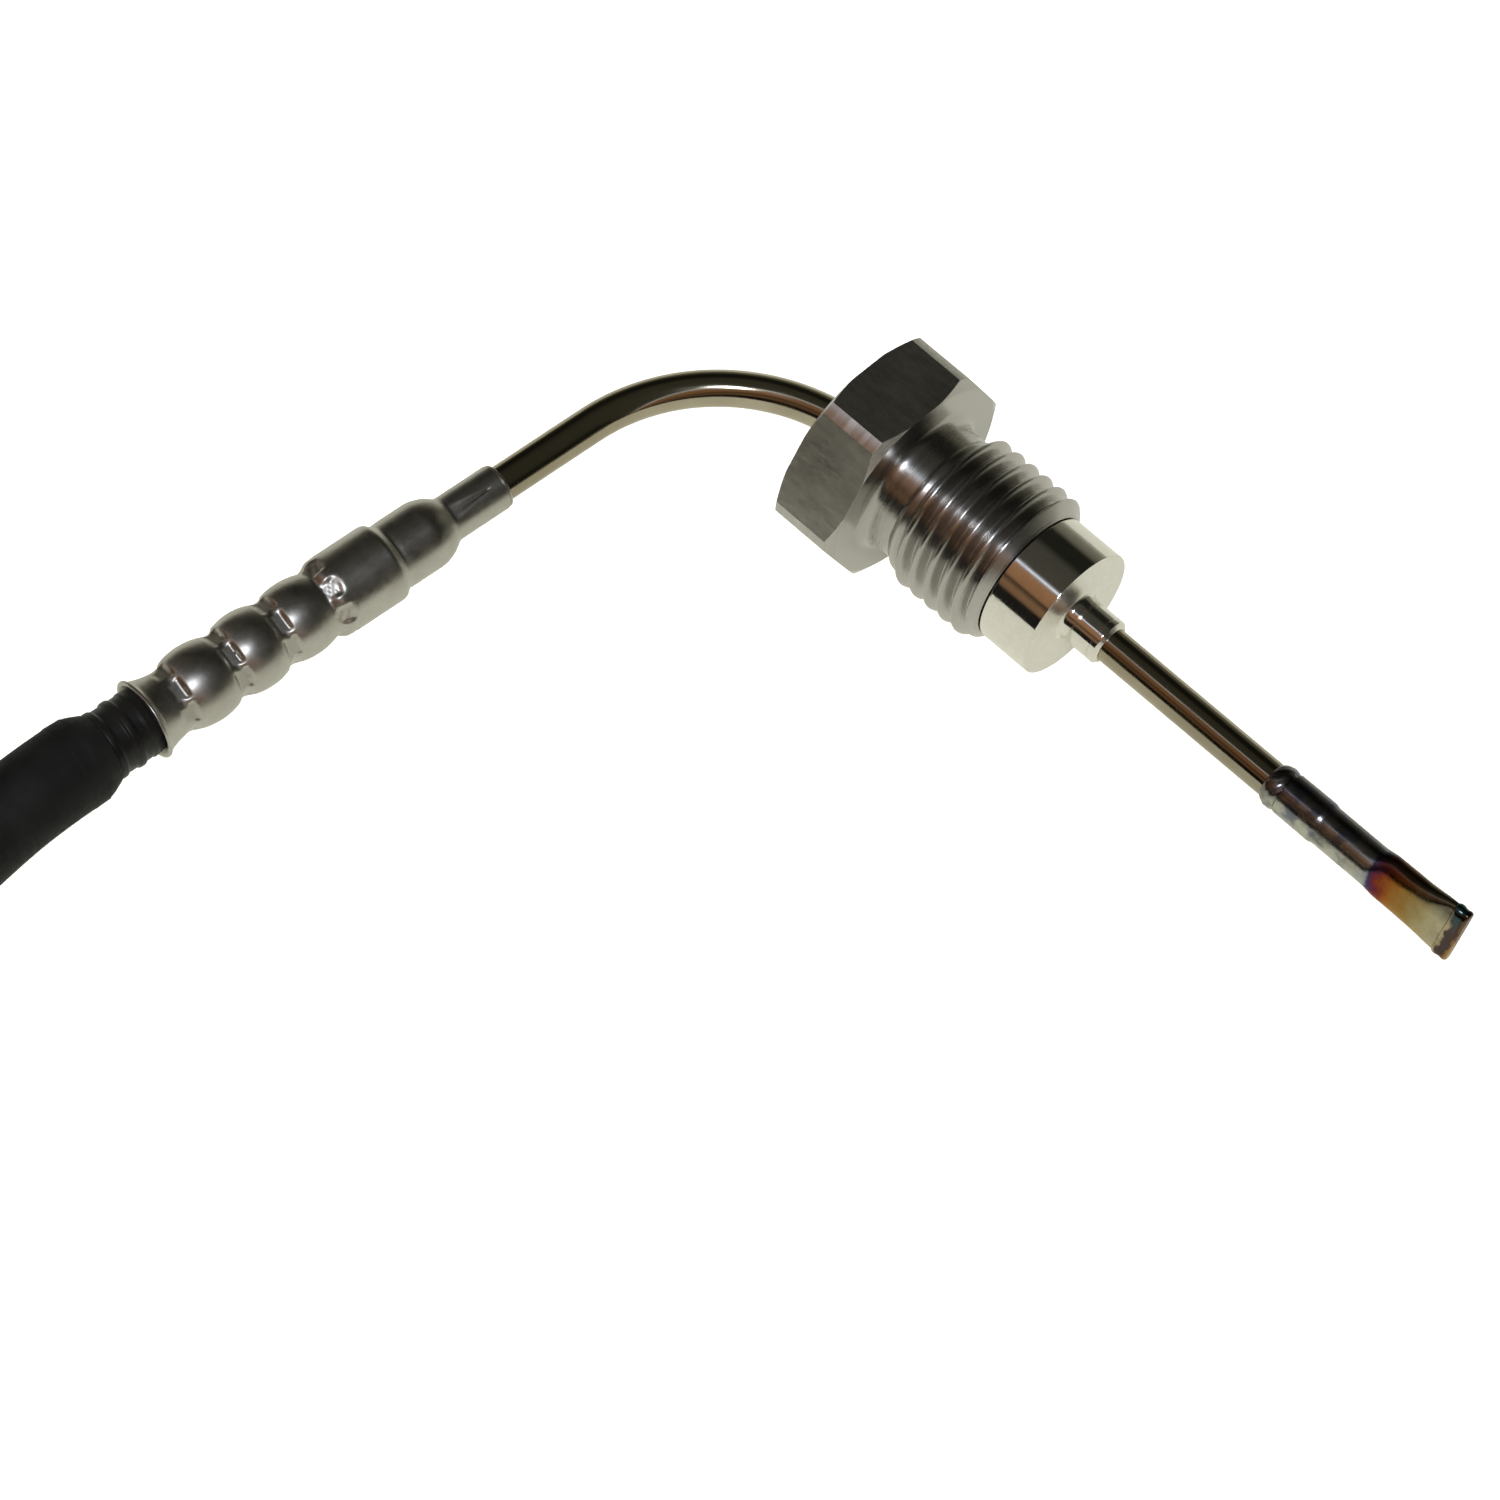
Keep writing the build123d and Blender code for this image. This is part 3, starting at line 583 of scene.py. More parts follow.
def settled(name, cloth, finish, crisp=35.0):
    bmesh.ops.remove_doubles(cloth, verts=cloth.verts, dist=1e-7)
    bmesh.ops.dissolve_degenerate(cloth, edges=cloth.edges, dist=1e-8)
    bmesh.ops.recalc_face_normals(cloth, faces=cloth.faces)
    mesh = bpy.data.meshes.new(name)
    cloth.to_mesh(mesh)
    cloth.free()
    mesh.shade_smooth()
    mesh.set_sharp_from_angle(angle=radians(crisp))
    mesh.materials.append(finish)
    return placed(name, mesh)


def softened(corners, steps=4):
    """An outline whose corners are rounded. A corner is (along, radius, rounding)."""
    points = []
    for k, (along, radius, rounding) in enumerate(corners):
        here = Vector((along, radius))
        if rounding == 0:
            points.append(here)
            continue
        before = Vector(corners[k - 1][:2]) - here
        after = Vector(corners[(k + 1) % len(corners)][:2]) - here
        reach = min(rounding, 0.4 * before.length, 0.4 * after.length)
        start = here + before.normalized() * reach
        end = here + after.normalized() * reach
        points.append(here + before.normalized() * reach * 1.2)
        for n in range(steps + 1):
            t = n / steps
            points.append(start * (1 - t) ** 2 + here * 2 * t * (1 - t) + end * t**2)
        points.append(here + after.normalized() * reach * 1.2)
    return [(p.x, p.y) for p in points]


def turned(name, outline, place, finish, around=96, loop=False, shift=None, crisp=35.0):
    rings = []
    for along, radius in outline:
        if radius < 1e-6:
            rings.append([place @ mm(0, 0, along)])
        else:
            rings.append(ring(place, along, radius, around, shift))
    return skin(name, rings, finish, loop, crisp)


def arc_points(start, through, end, steps):
    """Points on the circle through three points, from start to end."""
    (ax, ay), (bx, by), (cx, cy) = start, through, end
    d = 2 * (ax * (by - cy) + bx * (cy - ay) + cx * (ay - by))
    a2, b2, c2 = ax * ax + ay * ay, bx * bx + by * by, cx * cx + cy * cy
    ux = (a2 * (by - cy) + b2 * (cy - ay) + c2 * (ay - by)) / d
    uy = (a2 * (cx - bx) + b2 * (ax - cx) + c2 * (bx - ax)) / d
    r = hypot(ax - ux, ay - uy)
    angles = [atan2(y - uy, x - ux) for x, y in (start, through, end)]
    for k in (1, 2):
        while angles[k] - angles[k - 1] > pi:
            angles[k] -= 2 * pi
        while angles[k] - angles[k - 1] < -pi:
            angles[k] += 2 * pi
    return [
        (ux + r * cos(angles[0] + (angles[2] - angles[0]) * k / steps),
         uy + r * sin(angles[0] + (angles[2] - angles[0]) * k / steps))
        for k in range(steps + 1)
    ]


def smooth_step(value, low, high):
    t = min(1.0, max(0.0, (value - low) / (high - low)))
    return t * t * (3 - 2 * t)


def ready(piece, body, slot, *nodes):
    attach(piece, body)
    if nodes:
        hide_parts(*nodes)
    return piece


# ------ hose, first of the pieces
def hose_points():
    """From the grommet down to the table, a turn and a half of coil, and back to the plug."""
    start = RIM - TAIL_DIR * (GROMMET_BACK - 1.5)
    front = [
        tuple(start), (-44.8, -68.87, -4.212), (-44.65, -75.6, -4.85),
        (-44.0, -83.4, -5.12), (-43.75, -91.2, -5.2),
    ]
    rear = [
        (-116.9, -90.9, 2.06), (-117.05, -83.9, 1.45), (-117.1, -76.9, -0.3),
        (-117.05, -69.9, -2.0), (-117.0, -63.2, -2.83), (-117.0, -56.5, -2.85),
    ]
    turns = []
    for k in range(25):
        angle = 22.5 * k
        x = COIL_CENTRE[0] + COIL_R * cos(radians(angle))
        y = COIL_CENTRE[1] - COIL_R * sin(radians(angle))
        turns.append((x, y, COIL_LOW + (COIL_HIGH - COIL_LOW) * smooth_step(angle, 200, 345)))
    return front + turns + rear


def hose():
    data = bpy.data.curves.new("hose", "CURVE")
    data.dimensions = "3D"
    spline = data.splines.new("NURBS")
    points = hose_points()
    spline.points.add(len(points) - 1)
    for made, place in zip(spline.points, points):
        made.co = (*mm(*place), 1.0)
    spline.order_u = 3
    spline.use_endpoint_u = True
    spline.use_smooth = True
    data.resolution_u = 12
    data.bevel_depth = HOSE_R * MM
    data.bevel_resolution = 14
    data.use_fill_caps = True
    data.materials.append(HOSE)
    return placed("hose", data)


def hose_mouth():
    """The hose's moulded front end, drawn in towards the grommet."""
    front = GROMMET_BACK + 0.15
    back = GROMMET_BACK - 3.3
    outline = [(front, 0.0)]
    outline += softened([
        (front, 2.2, 0), (front, 2.95, 0.18), (front - 1.5, HOSE_R - 0.02, 0.7),
        (back + 0.3, HOSE_R + 0.03, 0.2), (back, HOSE_R - 0.3, 0),
    ])
    outline += [(back, 0.0)]
    return turned("hose_mouth", outline, SLEEVE, HOSE, around=72)


# ------ nut
def hexagon_radius(angle):
    """How far the hexagon reaches at an angle, its sharp corners turned off."""
    off_flat = (angle % radians(60)) - radians(30)
    return min(HEX_FLATS / 2 / cos(off_flat), HEX_CORNER_R)


def hexagon_angles():
    cut = radians(30) - acos(HEX_FLATS / 2 / HEX_CORNER_R)
    angles = []
    for side in range(6):
        corner = radians(60 * side)
        angles += [corner - cut + 2 * cut * k / 3 for k in range(4)]
        flat = radians(60) - 2 * cut
        angles += [corner + cut + flat * k / 14 for k in range(1, 14)]
    return angles


def nut_hexagon():
    """Hexagon with turned chamfers, its bore and the relief in front of it."""
    chamfer = tan(radians(30))
    fillet = arc_points((HEX_FRONT, 6.9), (HEX_FRONT + 0.24, 6.2), (HEX_FRONT + 0.95, RELIEF_R), 8)
    rings = []
    reaches = [(hexagon_radius(angle), angle) for angle in hexagon_angles()]

    def around(along, radius):
        reach = [(min(radius, r), a) for r, a in reaches]
        rings.append([mm(along, r * cos(a), r * sin(a)) for r, a in reach])

    def at_hexagon(face, towards):
        cut = [(face + towards * max(0.0, r - HEX_CHAMFER_R) * chamfer, r, a) for r, a in reaches]
        rings.append([mm(along, r * cos(a), r * sin(a)) for along, r, a in cut])

    around(HEX_BACK, BORE_R + 0.3)
    around(HEX_BACK, 5.6)
    around(HEX_BACK, HEX_CHAMFER_R)
    at_hexagon(HEX_BACK, 1)
    at_hexagon(HEX_FRONT, -1)
    around(HEX_FRONT, HEX_CHAMFER_R)
    around(HEX_FRONT, 7.45)
    for along, radius in fillet:
        around(along, radius)
    around(THREAD_BACK + 0.6, RELIEF_R)
    around(THREAD_BACK + 0.6, BORE_R)
    around(HEX_BACK + 0.3, BORE_R)
    made = eased(skin("nut_hexagon", rings, MILLED, loop=True), 0.09, 2, 20)
    made.data.materials.append(TURNED)
    for face in made.data.polygons:
        if is_turned(face):
            face.material_index = 1
    return made


def is_turned(face):
    """True off the milled flats: on the relief, the bore, the end faces and the turned corners."""
    centre = face.center
    off_axis = hypot(centre.y, centre.z)
    relief_or_bore = centre.x > (HEX_FRONT - 0.02) * MM or off_axis < BORE_R * 1.05 * MM
    end_face = abs(face.normal.x) > 0.4 and off_axis > BORE_R * 1.2 * MM
    off_flat = atan2(centre.z, centre.y) % radians(60) - radians(30)
    corner = abs(off_flat) > acos(HEX_FLATS / 2 / HEX_CORNER_R) - 0.005
    return relief_or_bore or end_face or corner


def eased(piece, width, segments, angle):
    """The piece with its edges rounded where they are sharper than angle degrees."""
    edges = piece.modifiers.new("eased_edges", "BEVEL")
    edges.width = width * MM
    edges.segments = segments
    edges.limit_method = "ANGLE"
    edges.angle_limit = radians(angle)
    edges.harden_normals = True
    return plain(piece)


def plain(piece):
    """The piece with its modifiers made part of its mesh."""
    whole = piece.evaluated_get(bpy.context.evaluated_depsgraph_get())
    mesh = bpy.data.meshes.new_from_object(whole)
    piece.modifiers.clear()
    piece.data = mesh
    return piece


def rolled_thread_tree(sizes):
    """A grid wrapped into a tube whose radius follows a helix, with its bore, as one closed skin."""
    tree, given, result = new_group("GeometryNodeTree", "rolled_thread", sizes, ["Geometry"])
    length, pitch = given["Length"], given["Pitch"]
    step = pitch / given["Rows A Turn"]
    rows = maths(tree, "ROUND", (length + pitch) / step)
    counts = {"Vertices X": given["Around"] + 1.0, "Vertices Y": rows + 4.0}
    grid = node(tree, "GeometryNodeMeshGrid", {"Size X": 1.0, "Size Y": 1.0, **counts})
    place = parted(tree, node(tree, "GeometryNodeInputPosition").outputs[0])
    turn = place["X"] + 0.5
    row = maths(tree, "ROUND", (place["Y"] + 0.5) * (rows + 3.0))
    # the first row and the last two lie in the bore, and the last is back at the front
    along = maths(tree, "MAXIMUM", (row - 1.0) * step - turn * pitch, 0.0)
    along = maths(tree, "MINIMUM", along, length)
    last = maths(tree, "GREATER_THAN", row, rows + 2.5)
    behind = maths(tree, "GREATER_THAN", row, rows + 1.5)
    inside = maths(tree, "MAXIMUM", maths(tree, "LESS_THAN", row, 0.5), behind)
    along = along * (1.0 - last)
    # the ridge swells once a turn and dies away over the run-out
    phase = maths(tree, "FRACT", (along - given["Lead"]) / pitch + turn)
    wave = maths(tree, "COSINE", (phase - 0.5) * (2 * pi))
    ridge = maths(tree, "POWER", maths(tree, "MULTIPLY_ADD", wave, 0.4999, 0.5), 0.82)
    fade = spread(tree, (length - along) / given["Run Out"], 0.15, 1.0, 0.0, 1.0)
    root = given["Crest"] - given["Depth"]
    body = root + ridge * given["Depth"] * fade - (1.0 - fade) * given["Sink"]
    chamfer = root - given["Chamfer"] + along * 1.05
    body = maths(tree, "SMOOTH_MIN", body, chamfer, 0.16 * MM)
    radius = body * (1.0 - inside) + given["Bore"] * inside
    angle = turn * (2 * pi)
    y = radius * maths(tree, "COSINE", angle)
    z = radius * maths(tree, "SINE", angle)
    where = node(tree, "ShaderNodeCombineXYZ", {0: given["Front"] - along, 1: y, 2: z})
    made = grid.outputs["Mesh"]
    made = node(tree, "GeometryNodeSetPosition", {"Geometry": made, "Position": where.outputs[0]})
    made = node(tree, "GeometryNodeMergeByDistance", {"Geometry": made.outputs[0], "Distance": 2e-7})
    finished(tree, made.outputs[0], given["Steel"], result)
    return tree


def finished(tree, shape, material, result):
    """Ends a tree: real geometry with its material."""
    whole = node(tree, "GeometryNodeRealizeInstances", {"Geometry": shape})
    coated = node(tree, "GeometryNodeSetMaterial", {"Geometry": whole.outputs[0], "Material": material})
    tree.links.new(coated.outputs[0], result["Geometry"])


def grown(name, make_tree, values):
    """A plain mesh from a geometry tree, whose inputs are named with their values."""
    made = placed(name, bpy.data.meshes.new(name))
    growth = made.modifiers.new("growth", "NODES")
    growth.node_group = make_tree(values)
    for item in growth.node_group.interface.items_tree:
        if item.in_out == "INPUT":
            growth[item.identifier] = values[item.name]
    return plain(made)


def nut_thread():
    made = grown("nut_thread", rolled_thread_tree, {
        "Front": NUT_FRONT * MM, "Length": THREAD_LONG * MM, "Pitch": THREAD_PITCH * MM,
        "Crest": THREAD_R * MM, "Depth": THREAD_DEPTH * MM, "Bore": BORE_R * MM,
        "Run Out": 1.5 * MM, "Sink": 0.18 * MM, "Lead": THREAD_LEAD * MM, "Chamfer": 0.25 * MM,
        "Around": 144, "Rows A Turn": 15, "Steel": TURNED,
    })
    cloth = bmesh.new()
    cloth.from_mesh(made.data)
    bpy.data.objects.remove(made)
    return settled("nut_thread", cloth, TURNED, crisp=42.0)


# ------ collar and sheath
def seal_collar():
    """Hub, collar and neck in one, turned: the neck flares out to the collar and has a groove near its end."""
    bore = SHEATH_R + 0.02
    back = -COLLAR_LONG
    groove = NECK_LONG - 0.84
    corners = [
        (back - HUB_LONG, bore, 0), (back - HUB_LONG, HUB_R, 0.1),
        (back, HUB_R, 0), (back, COLLAR_R, 0.14), (0.0, COLLAR_R, 0.07),
        (0.0, NECK_R + 0.85, 0), (0.09, NECK_R + 0.36, 0.3), (0.34, NECK_R + 0.1, 0.3), (0.9, NECK_R, 0.4),
        (groove, NECK_R, 0), (groove + 0.03, NECK_R - 0.05, 0), (groove + 0.09, NECK_R - 0.05, 0),
        (groove + 0.12, NECK_R, 0), (groove + 0.51, NECK_R + 0.01, 0.09),
        (NECK_LONG, NECK_R - 0.38, 0.1), (NECK_LONG, bore, 0),
    ]
    return turned("turned_collar", softened(corners), PROBE, POLISHED, around=160, loop=True, crisp=50.0)


def sheath_stations():
    """Centre and direction at points from the tip's end of the sheath to the sleeve."""
    stations = []
    front = Vector((SHEATH_FRONT, 0, 0))
    turn = Vector((-BEND_START, 0, 0))
    for k in range(24):
        stations.append((front.lerp(turn, k / 24), Vector((-1, 0, 0))))
    for k in range(49):
        a = BEND_ANGLE * k / 48
        stations.append((on_bend(a), Vector((-cos(a), 0, 0)) + TOWARDS * sin(a)))
    finish = RIM - TAIL_DIR * SHEATH_END
    for k in range(1, 13):
        stations.append((BEND_END.lerp(finish, k / 12), TAIL_DIR))
    return stations


def probe_sheath():
    """Tube round the bend, with its distance along kept for the bronze tint."""
    around = 72
    stations = sheath_stations()
    far = [0.0]
    for (a, _), (b, _) in zip(stations, stations[1:]):
        far.append(far[-1] + (b - a).length)
    cloth = bmesh.new()
    along = cloth.verts.layers.float.new("along")

    def wall(radius):
        made = []
        for (centre, direction), reached in zip(stations, far):
            side = direction.cross(ACROSS).normalized()
            points = []
            for k in range(around):
                a = 2 * pi * k / around
                vertex = cloth.verts.new((centre + (ACROSS * cos(a) + side * sin(a)) * radius) * MM)
                vertex[along] = reached / far[-1]
                points.append(vertex)
            made.append(points)
        return made

    outside = wall(SHEATH_R)
    inside = wall(SHEATH_R - SHEATH_WALL)
    loop = outside + inside[::-1]
    for low, high in zip(loop, loop[1:] + loop[:1]):
        for k in range(around):
            cloth.faces.new((low[k], low[(k + 1) % around], high[(k + 1) % around], high[k]))
    return settled("bent_sheath", cloth, BRONZED)


# ------ tip
def tip_bead():
    """Weld bead at the cap's mouth, a little uneven."""
    bore = SHEATH_R + 0.02
    back = BEAD_X + BEAD_LONG

    def uneven(angle, along, radius):
        if radius < bore + 0.01:
            return radius
        return radius + 0.022 * sin(5 * angle + 1) + 0.016 * sin(11 * angle + along * 9)

    outline = arc_points((BEAD_X, bore), (BEAD_X + BEAD_LONG / 2, SHEATH_R + 0.36), (back, bore + 0.12), 14)
    outline += [(back, bore)]
    return turned("tip_bead", outline, PROBE, TINTED, around=96, loop=True, shift=uneven, crisp=60.0)


def flattened(angle, thick):
    """A point of the tip tube's section, squeezed to half thickness thick with its girth kept."""
    wide = thick + (TIP_R - thick) * pi / 2 * 0.96
    c, s = cos(angle), sin(angle)
    edge = 0.13 + 0.5 * (thick / TIP_R) ** 4
    across = thick * c + (wide - thick) * c / sqrt(c * c + edge * edge) * sqrt(1 + edge * edge)
    return across, thick * s


def pinched_ring(along, thick, grow=0.0, around=96):
    """One section of the flattened end."""
    points = []
    for k in range(around):
        angle = 2 * pi * k / around - PINCH_TURN
        u, v = flattened(angle, thick)
        u, v = u + grow * cos(angle), v + grow * sin(angle)
        dent = 0.018 * sin(3 * angle + along * 2.1) * smooth_step(along, SQUEEZE_X, SQUEEZE_X + 1.5)
        v += dent * sin(angle)
        y = u * cos(PINCH_TURN) - v * sin(PINCH_TURN)
        z = u * sin(PINCH_TURN) + v * cos(PINCH_TURN)
        points.append(mm(along, y, z))
    return points


def squeeze(along):
    """Half thickness of the cap along the tip."""
    flat = TIP_R - (TIP_R - SQUEEZE_HALF) * smooth_step(along, SQUEEZE_X, SQUEEZE_X + 1.7)
    flat -= 0.10 * smooth_step(along, SQUEEZE_X + 2, PINCH_X)
    return flat - (SQUEEZE_HALF - 0.10 - PINCH_HALF) * smooth_step(along, PINCH_X - 0.6, PINCH_END)


def tip_cap():
    """Cap welded over the sheath: two turned steps, a squeezed stretch and a pinched end."""
    start = BEAD_X + BEAD_LONG + 0.02
    mouth = SHEATH_FRONT + 0.02
    bore = SHEATH_R + 0.02
    hollow = TIP_R - TIP_WALL
    turned_part = softened([
        (mouth, hollow, 0), (mouth, bore, 0), (start, bore, 0), (start, CAP_R, 0.08),
        (CAP_STEP_X, CAP_R + 0.02, 0.2), (CAP_STEP_X + 0.35, TIP_R, 0.2), (SQUEEZE_X - 0.1, TIP_R, 0),
    ])
    rings = [[mm(HOLLOW_END, 0, 0)], ring(PROBE, HOLLOW_END, hollow, 96)]
    rings += [ring(PROBE, along, radius, 96) for along, radius in turned_part]
    steps = 44
    for k in range(steps + 1):
        along = SQUEEZE_X + (PINCH_END - SQUEEZE_X) * k / steps
        rings.append(pinched_ring(along, squeeze(along)))
    rings.append([mm(PINCH_END + 0.01, 0, 0)])
    return skin("tip_cap", rings, TINTED, crisp=45.0)


def end_bead():
    """Weld bead that seals the pinched end, proud of it all round."""
    x = PINCH_END - 0.12
    rings = [[mm(x, 0, 0)]]
    for share, grow, thick in [
        (0.0, -0.06, 0.42), (0.0, 0.05, 0.46), (0.07, 0.12, 0.5), (0.2, 0.17, 0.54), (0.36, 0.15, 0.56),
        (0.5, 0.10, 0.54), (0.62, 0.09, 0.52), (0.74, 0.12, 0.52), (0.86, 0.12, 0.5), (0.94, 0.06, 0.46),
        (0.99, -0.04, 0.4), (1.0, -0.16, 0.32),
    ]:
        rings.append(pinched_ring(x + (END_BEAD_LONG + 0.1) * share, thick, grow))
    rings.append([mm(x + END_BEAD_LONG + 0.08, 0, 0)])
    return skin("end_bead", rings, TINTED, crisp=60.0)


# ------ transition sleeve and grommet
def sleeve_outline():
    """Outside of the sleeve from its rim to its neck, as (along, radius), its creases eased."""
    first, last = CREASES[0], CREASES[-1]
    points = arc_points((0, RIM_R), (first[0] * 0.45, (RIM_R + 2 * first[1]) / 3), first, 8)
    for crease, bulb, following in zip(CREASES, BULBS, CREASES[1:]):
        points += arc_points(crease, bulb, following, 20)[1:]
    rise, drop, bulb_r = LONG_BULB
    points += arc_points(last, (rise - 0.55, (last[1] + 3 * bulb_r) / 4), (rise, bulb_r), 8)[1:]
    points += [(drop, bulb_r), (drop + 0.35, STEP_R + 0.12), (drop + 0.55, STEP_R - 0.1)]
    points += [(drop + 0.8, STEP_R - 0.02), (drop + 1.3, STEP_R), (STEP_BACK, STEP_R)]
    neck_start, neck_stop, neck_r = NECK
    shoulder = ((STEP_BACK + neck_start) / 2, (2 * STEP_R + neck_r) / 3 + 0.15)
    points += arc_points((STEP_BACK, STEP_R), shoulder, (neck_start, neck_r), 8)[1:]
    points += [(neck_stop + 1.0, neck_r)]
    return [(at, eased_radius(points, at)) for at in (neck_stop * k / 240 for k in range(241))]


def eased_radius(points, at):
    """The outline's radius near a place, averaged so that its creases are soft."""
    near = [(exp(-j * j / 4), between(points, max(0.0, at + j * 0.12))) for j in range(-3, 4)]
    return sum(weight * radius for weight, radius in near) / sum(weight for weight, _ in near)


def plateau(along, rise, full, fall, gone):
    """1 between full and fall, 0 before rise and after gone."""
    return smooth_step(along, rise, full) * (1 - smooth_step(along, fall, gone))


def between(points, at):
    for (a, ra), (b, rb) in zip(points, points[1:]):
        if a <= at <= b and b > a:
            return ra + (rb - ra) * (at - a) / (b - a)
    return points[-1][1]


def crimped(angle, along, radius):
    """The crimping jaws' marks round the creases, and a fold in the neck."""
    if radius < 1.7 or along < 0.8:
        return radius
    off = (angle - FIRST_JAW + pi / JAWS) % (2 * pi / JAWS) - pi / JAWS
    jaw = 1 - smooth_step(abs(off), radians(16), radians(21))
    for at, crease in CREASES[:3]:
        window = plateau(along, at - 0.7, at - 0.35, at + 0.5, at + 0.8)
        flat = (crease - 0.06) / cos(off)
        if window > 0 and radius > flat:
            radius += (max(flat, crease - 0.09) - radius) * jaw * window
    at = CREASES[3][0]
    window = plateau(along, at - 0.3, at, at + 1.0, at + 1.7)
    jaw = 1 - smooth_step(abs(off), radians(10), radians(17))
    flat = (2.82 + 0.26 * max(0.0, along - at)) / cos(off)
    if window > 0 and radius > flat:
        wrinkle = 0.022 * sin(9 * along + 14 * angle) + 0.016 * sin(17 * along - 31 * angle)
        radius += (flat + wrinkle - radius) * jaw * window
    if along > STEP_BACK - 0.2:
        fold = abs(angle - radians(200)) * radius
        reach = 0.75 * (1 - smooth_step(along, NECK[0] - 0.6, NECK[1] - 1.2)) + 0.14
        deep = plateau(along, STEP_BACK + 0.6, NECK[0] - 0.4, NECK[1] - 1.6, NECK[1] - 0.9)
        radius -= 0.13 * deep * (1 - smooth_step(fold, 0.0, reach))
    return radius


def transition_sleeve():
    """Pressed tube: flared rim, three crimped bulbs, a long bulb, a step and a neck swaged on the sheath."""
    outside = sleeve_outline()
    bore = SHEATH_R + 0.02
    neck_start, neck_stop, neck_r = NECK
    neck_lip = softened([
        (neck_stop, neck_r, 0), (neck_stop + 0.04, neck_r - 0.13, 0.03),
        (neck_stop + 0.1, neck_r - 0.13, 0.03), (neck_stop + 0.13, neck_r - 0.06, 0.03),
        (NECK_END - 0.1, neck_r - 0.08, 0.06),
        (NECK_END, SHEATH_R + 0.1, 0.05), (NECK_END, bore, 0),
    ])
    inside = [(along, radius - SLEEVE_WALL) for along, radius in outside if 0.3 < along < STEP_BACK]
    inside += [(neck_start - 0.5, bore + 0.6), (neck_start, bore), (NECK_END - 0.3, bore)]
    rim = [
        (0.25, RIM_R - SLEEVE_WALL + 0.05), (0.0, RIM_R - 0.34), (-0.06, RIM_R - 0.2), (-0.06, RIM_R - 0.03),
        (0.0, RIM_R + 0.05), (0.1, RIM_R + 0.07), (0.2, RIM_R + 0.04), (0.28, RIM_R - 0.05),
    ]
    outline = rim + [p for p in outside if p[0] > 0.36] + neck_lip[1:] + inside[::-1]
    return turned("crimped_sleeve", outline, SLEEVE, SATIN, around=180, loop=True, shift=crimped, crisp=50.0)


def sealing_grommet():
    """Ribbed rubber bung. Behind the rim it fills the crimped sleeve."""
    corners = [(GROMMET_BACK, GROMMET_R - 0.3, 0), (GROMMET_BACK, GROMMET_R, 0.1)]
    rib = [(-0.42, 0, 0.12), (-0.22, 0.16, 0.14), (0.22, 0.16, 0.14), (0.42, 0, 0.12)]
    for at in GROMMET_RIBS:
        corners += [(at + off, GROMMET_R + rise, rounding) for off, rise, rounding in rib]
    corners += [
        (-0.95, GROMMET_R, 0.1), (-0.8, GROMMET_R + 0.1, 0.1), (0.2, GROMMET_R - 0.05, 0.1), (1.0, 2.4, 0),
    ]
    outline = [(GROMMET_BACK, 0.0)] + softened(corners)
    held = [(a, r - SLEEVE_WALL - 0.03) for a, r in sleeve_outline()[18::4] if a <= 12.5]
    outline += held + [(held[-1][0], 0.0)]
    return turned("sealing_grommet", outline, SLEEVE, RUBBER, around=96, crisp=60.0)


# ------ plug
def eased_copy(node_name, name, finish, width):
    """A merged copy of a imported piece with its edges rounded."""
    cloth = bmesh.new()
    cloth.from_mesh(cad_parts[node_name].data)
    bmesh.ops.remove_doubles(cloth, verts=cloth.verts, dist=2e-7)
    bmesh.ops.dissolve_limit(cloth, angle_limit=radians(1.0), verts=cloth.verts, edges=cloth.edges)
    return eased(settled(name, cloth, finish, crisp=40.0), width, 3, 38)


def boot_ring(along, grip, radius):
    """A section of the boot: the housing's rounded oblong, turning into a circle as grip goes to 1."""
    points = []
    for k in range(96):
        angle = 2 * pi * k / 96
        c, s = cos(angle), sin(angle)
        power = 7.0 - 5.0 * grip
        size = (abs(c) ** power + abs(s) ** power) ** (-1 / power)
        wide = PLUG_WIDE / 2 * (1 - grip) + radius * grip
        high = PLUG_HIGH / 2 * (1 - grip) + radius * grip
        points.append(mm(PLUG[0] + wide * size * c, PLUG[1] + along, PLUG[2] + high * size * s))
    return points


def plug_boot():
    """Rear cover that narrows to a ridged grip round the hose."""
    rings = [[mm(PLUG[0], PLUG[1] - 0.02, PLUG[2])]]
    rings += [boot_ring(-0.02, 0, 0), boot_ring(-0.3, 0, 0), boot_ring(-2.4, 0, 0)]
    for k in range(1, 9):
        rings.append(boot_ring(-2.4 - 1.9 * k / 8, smooth_step(k / 8, 0, 1), BOOT_GRIP_R - 0.25))
    ridge = [
        (0.0, -0.3), (-0.12, -0.08), (-0.25, 0.0), (-0.75, 0.0), (-0.9, -0.08), (-1.0, -0.3), (-1.25, -0.34),
    ]
    for start in (-4.6, -6.1, -7.6, -9.1):
        rings += [boot_ring(start + off, 1, BOOT_GRIP_R + rise) for off, rise in ridge]
    for along, radius in [
        (-10.8, BOOT_GRIP_R - 0.1), (-BOOT_LONG, BOOT_GRIP_R - 0.45), (-BOOT_LONG, HOSE_R + 0.25),
        (-BOOT_LONG + 0.35, HOSE_R + 0.03), (-7.0, HOSE_R + 0.03),
    ]:
        rings.append(boot_ring(along, 1, radius))
    rings.append([mm(PLUG[0], PLUG[1] - 7.0, PLUG[2])])
    return skin("plug_cover", rings, PLASTIC, crisp=50.0)


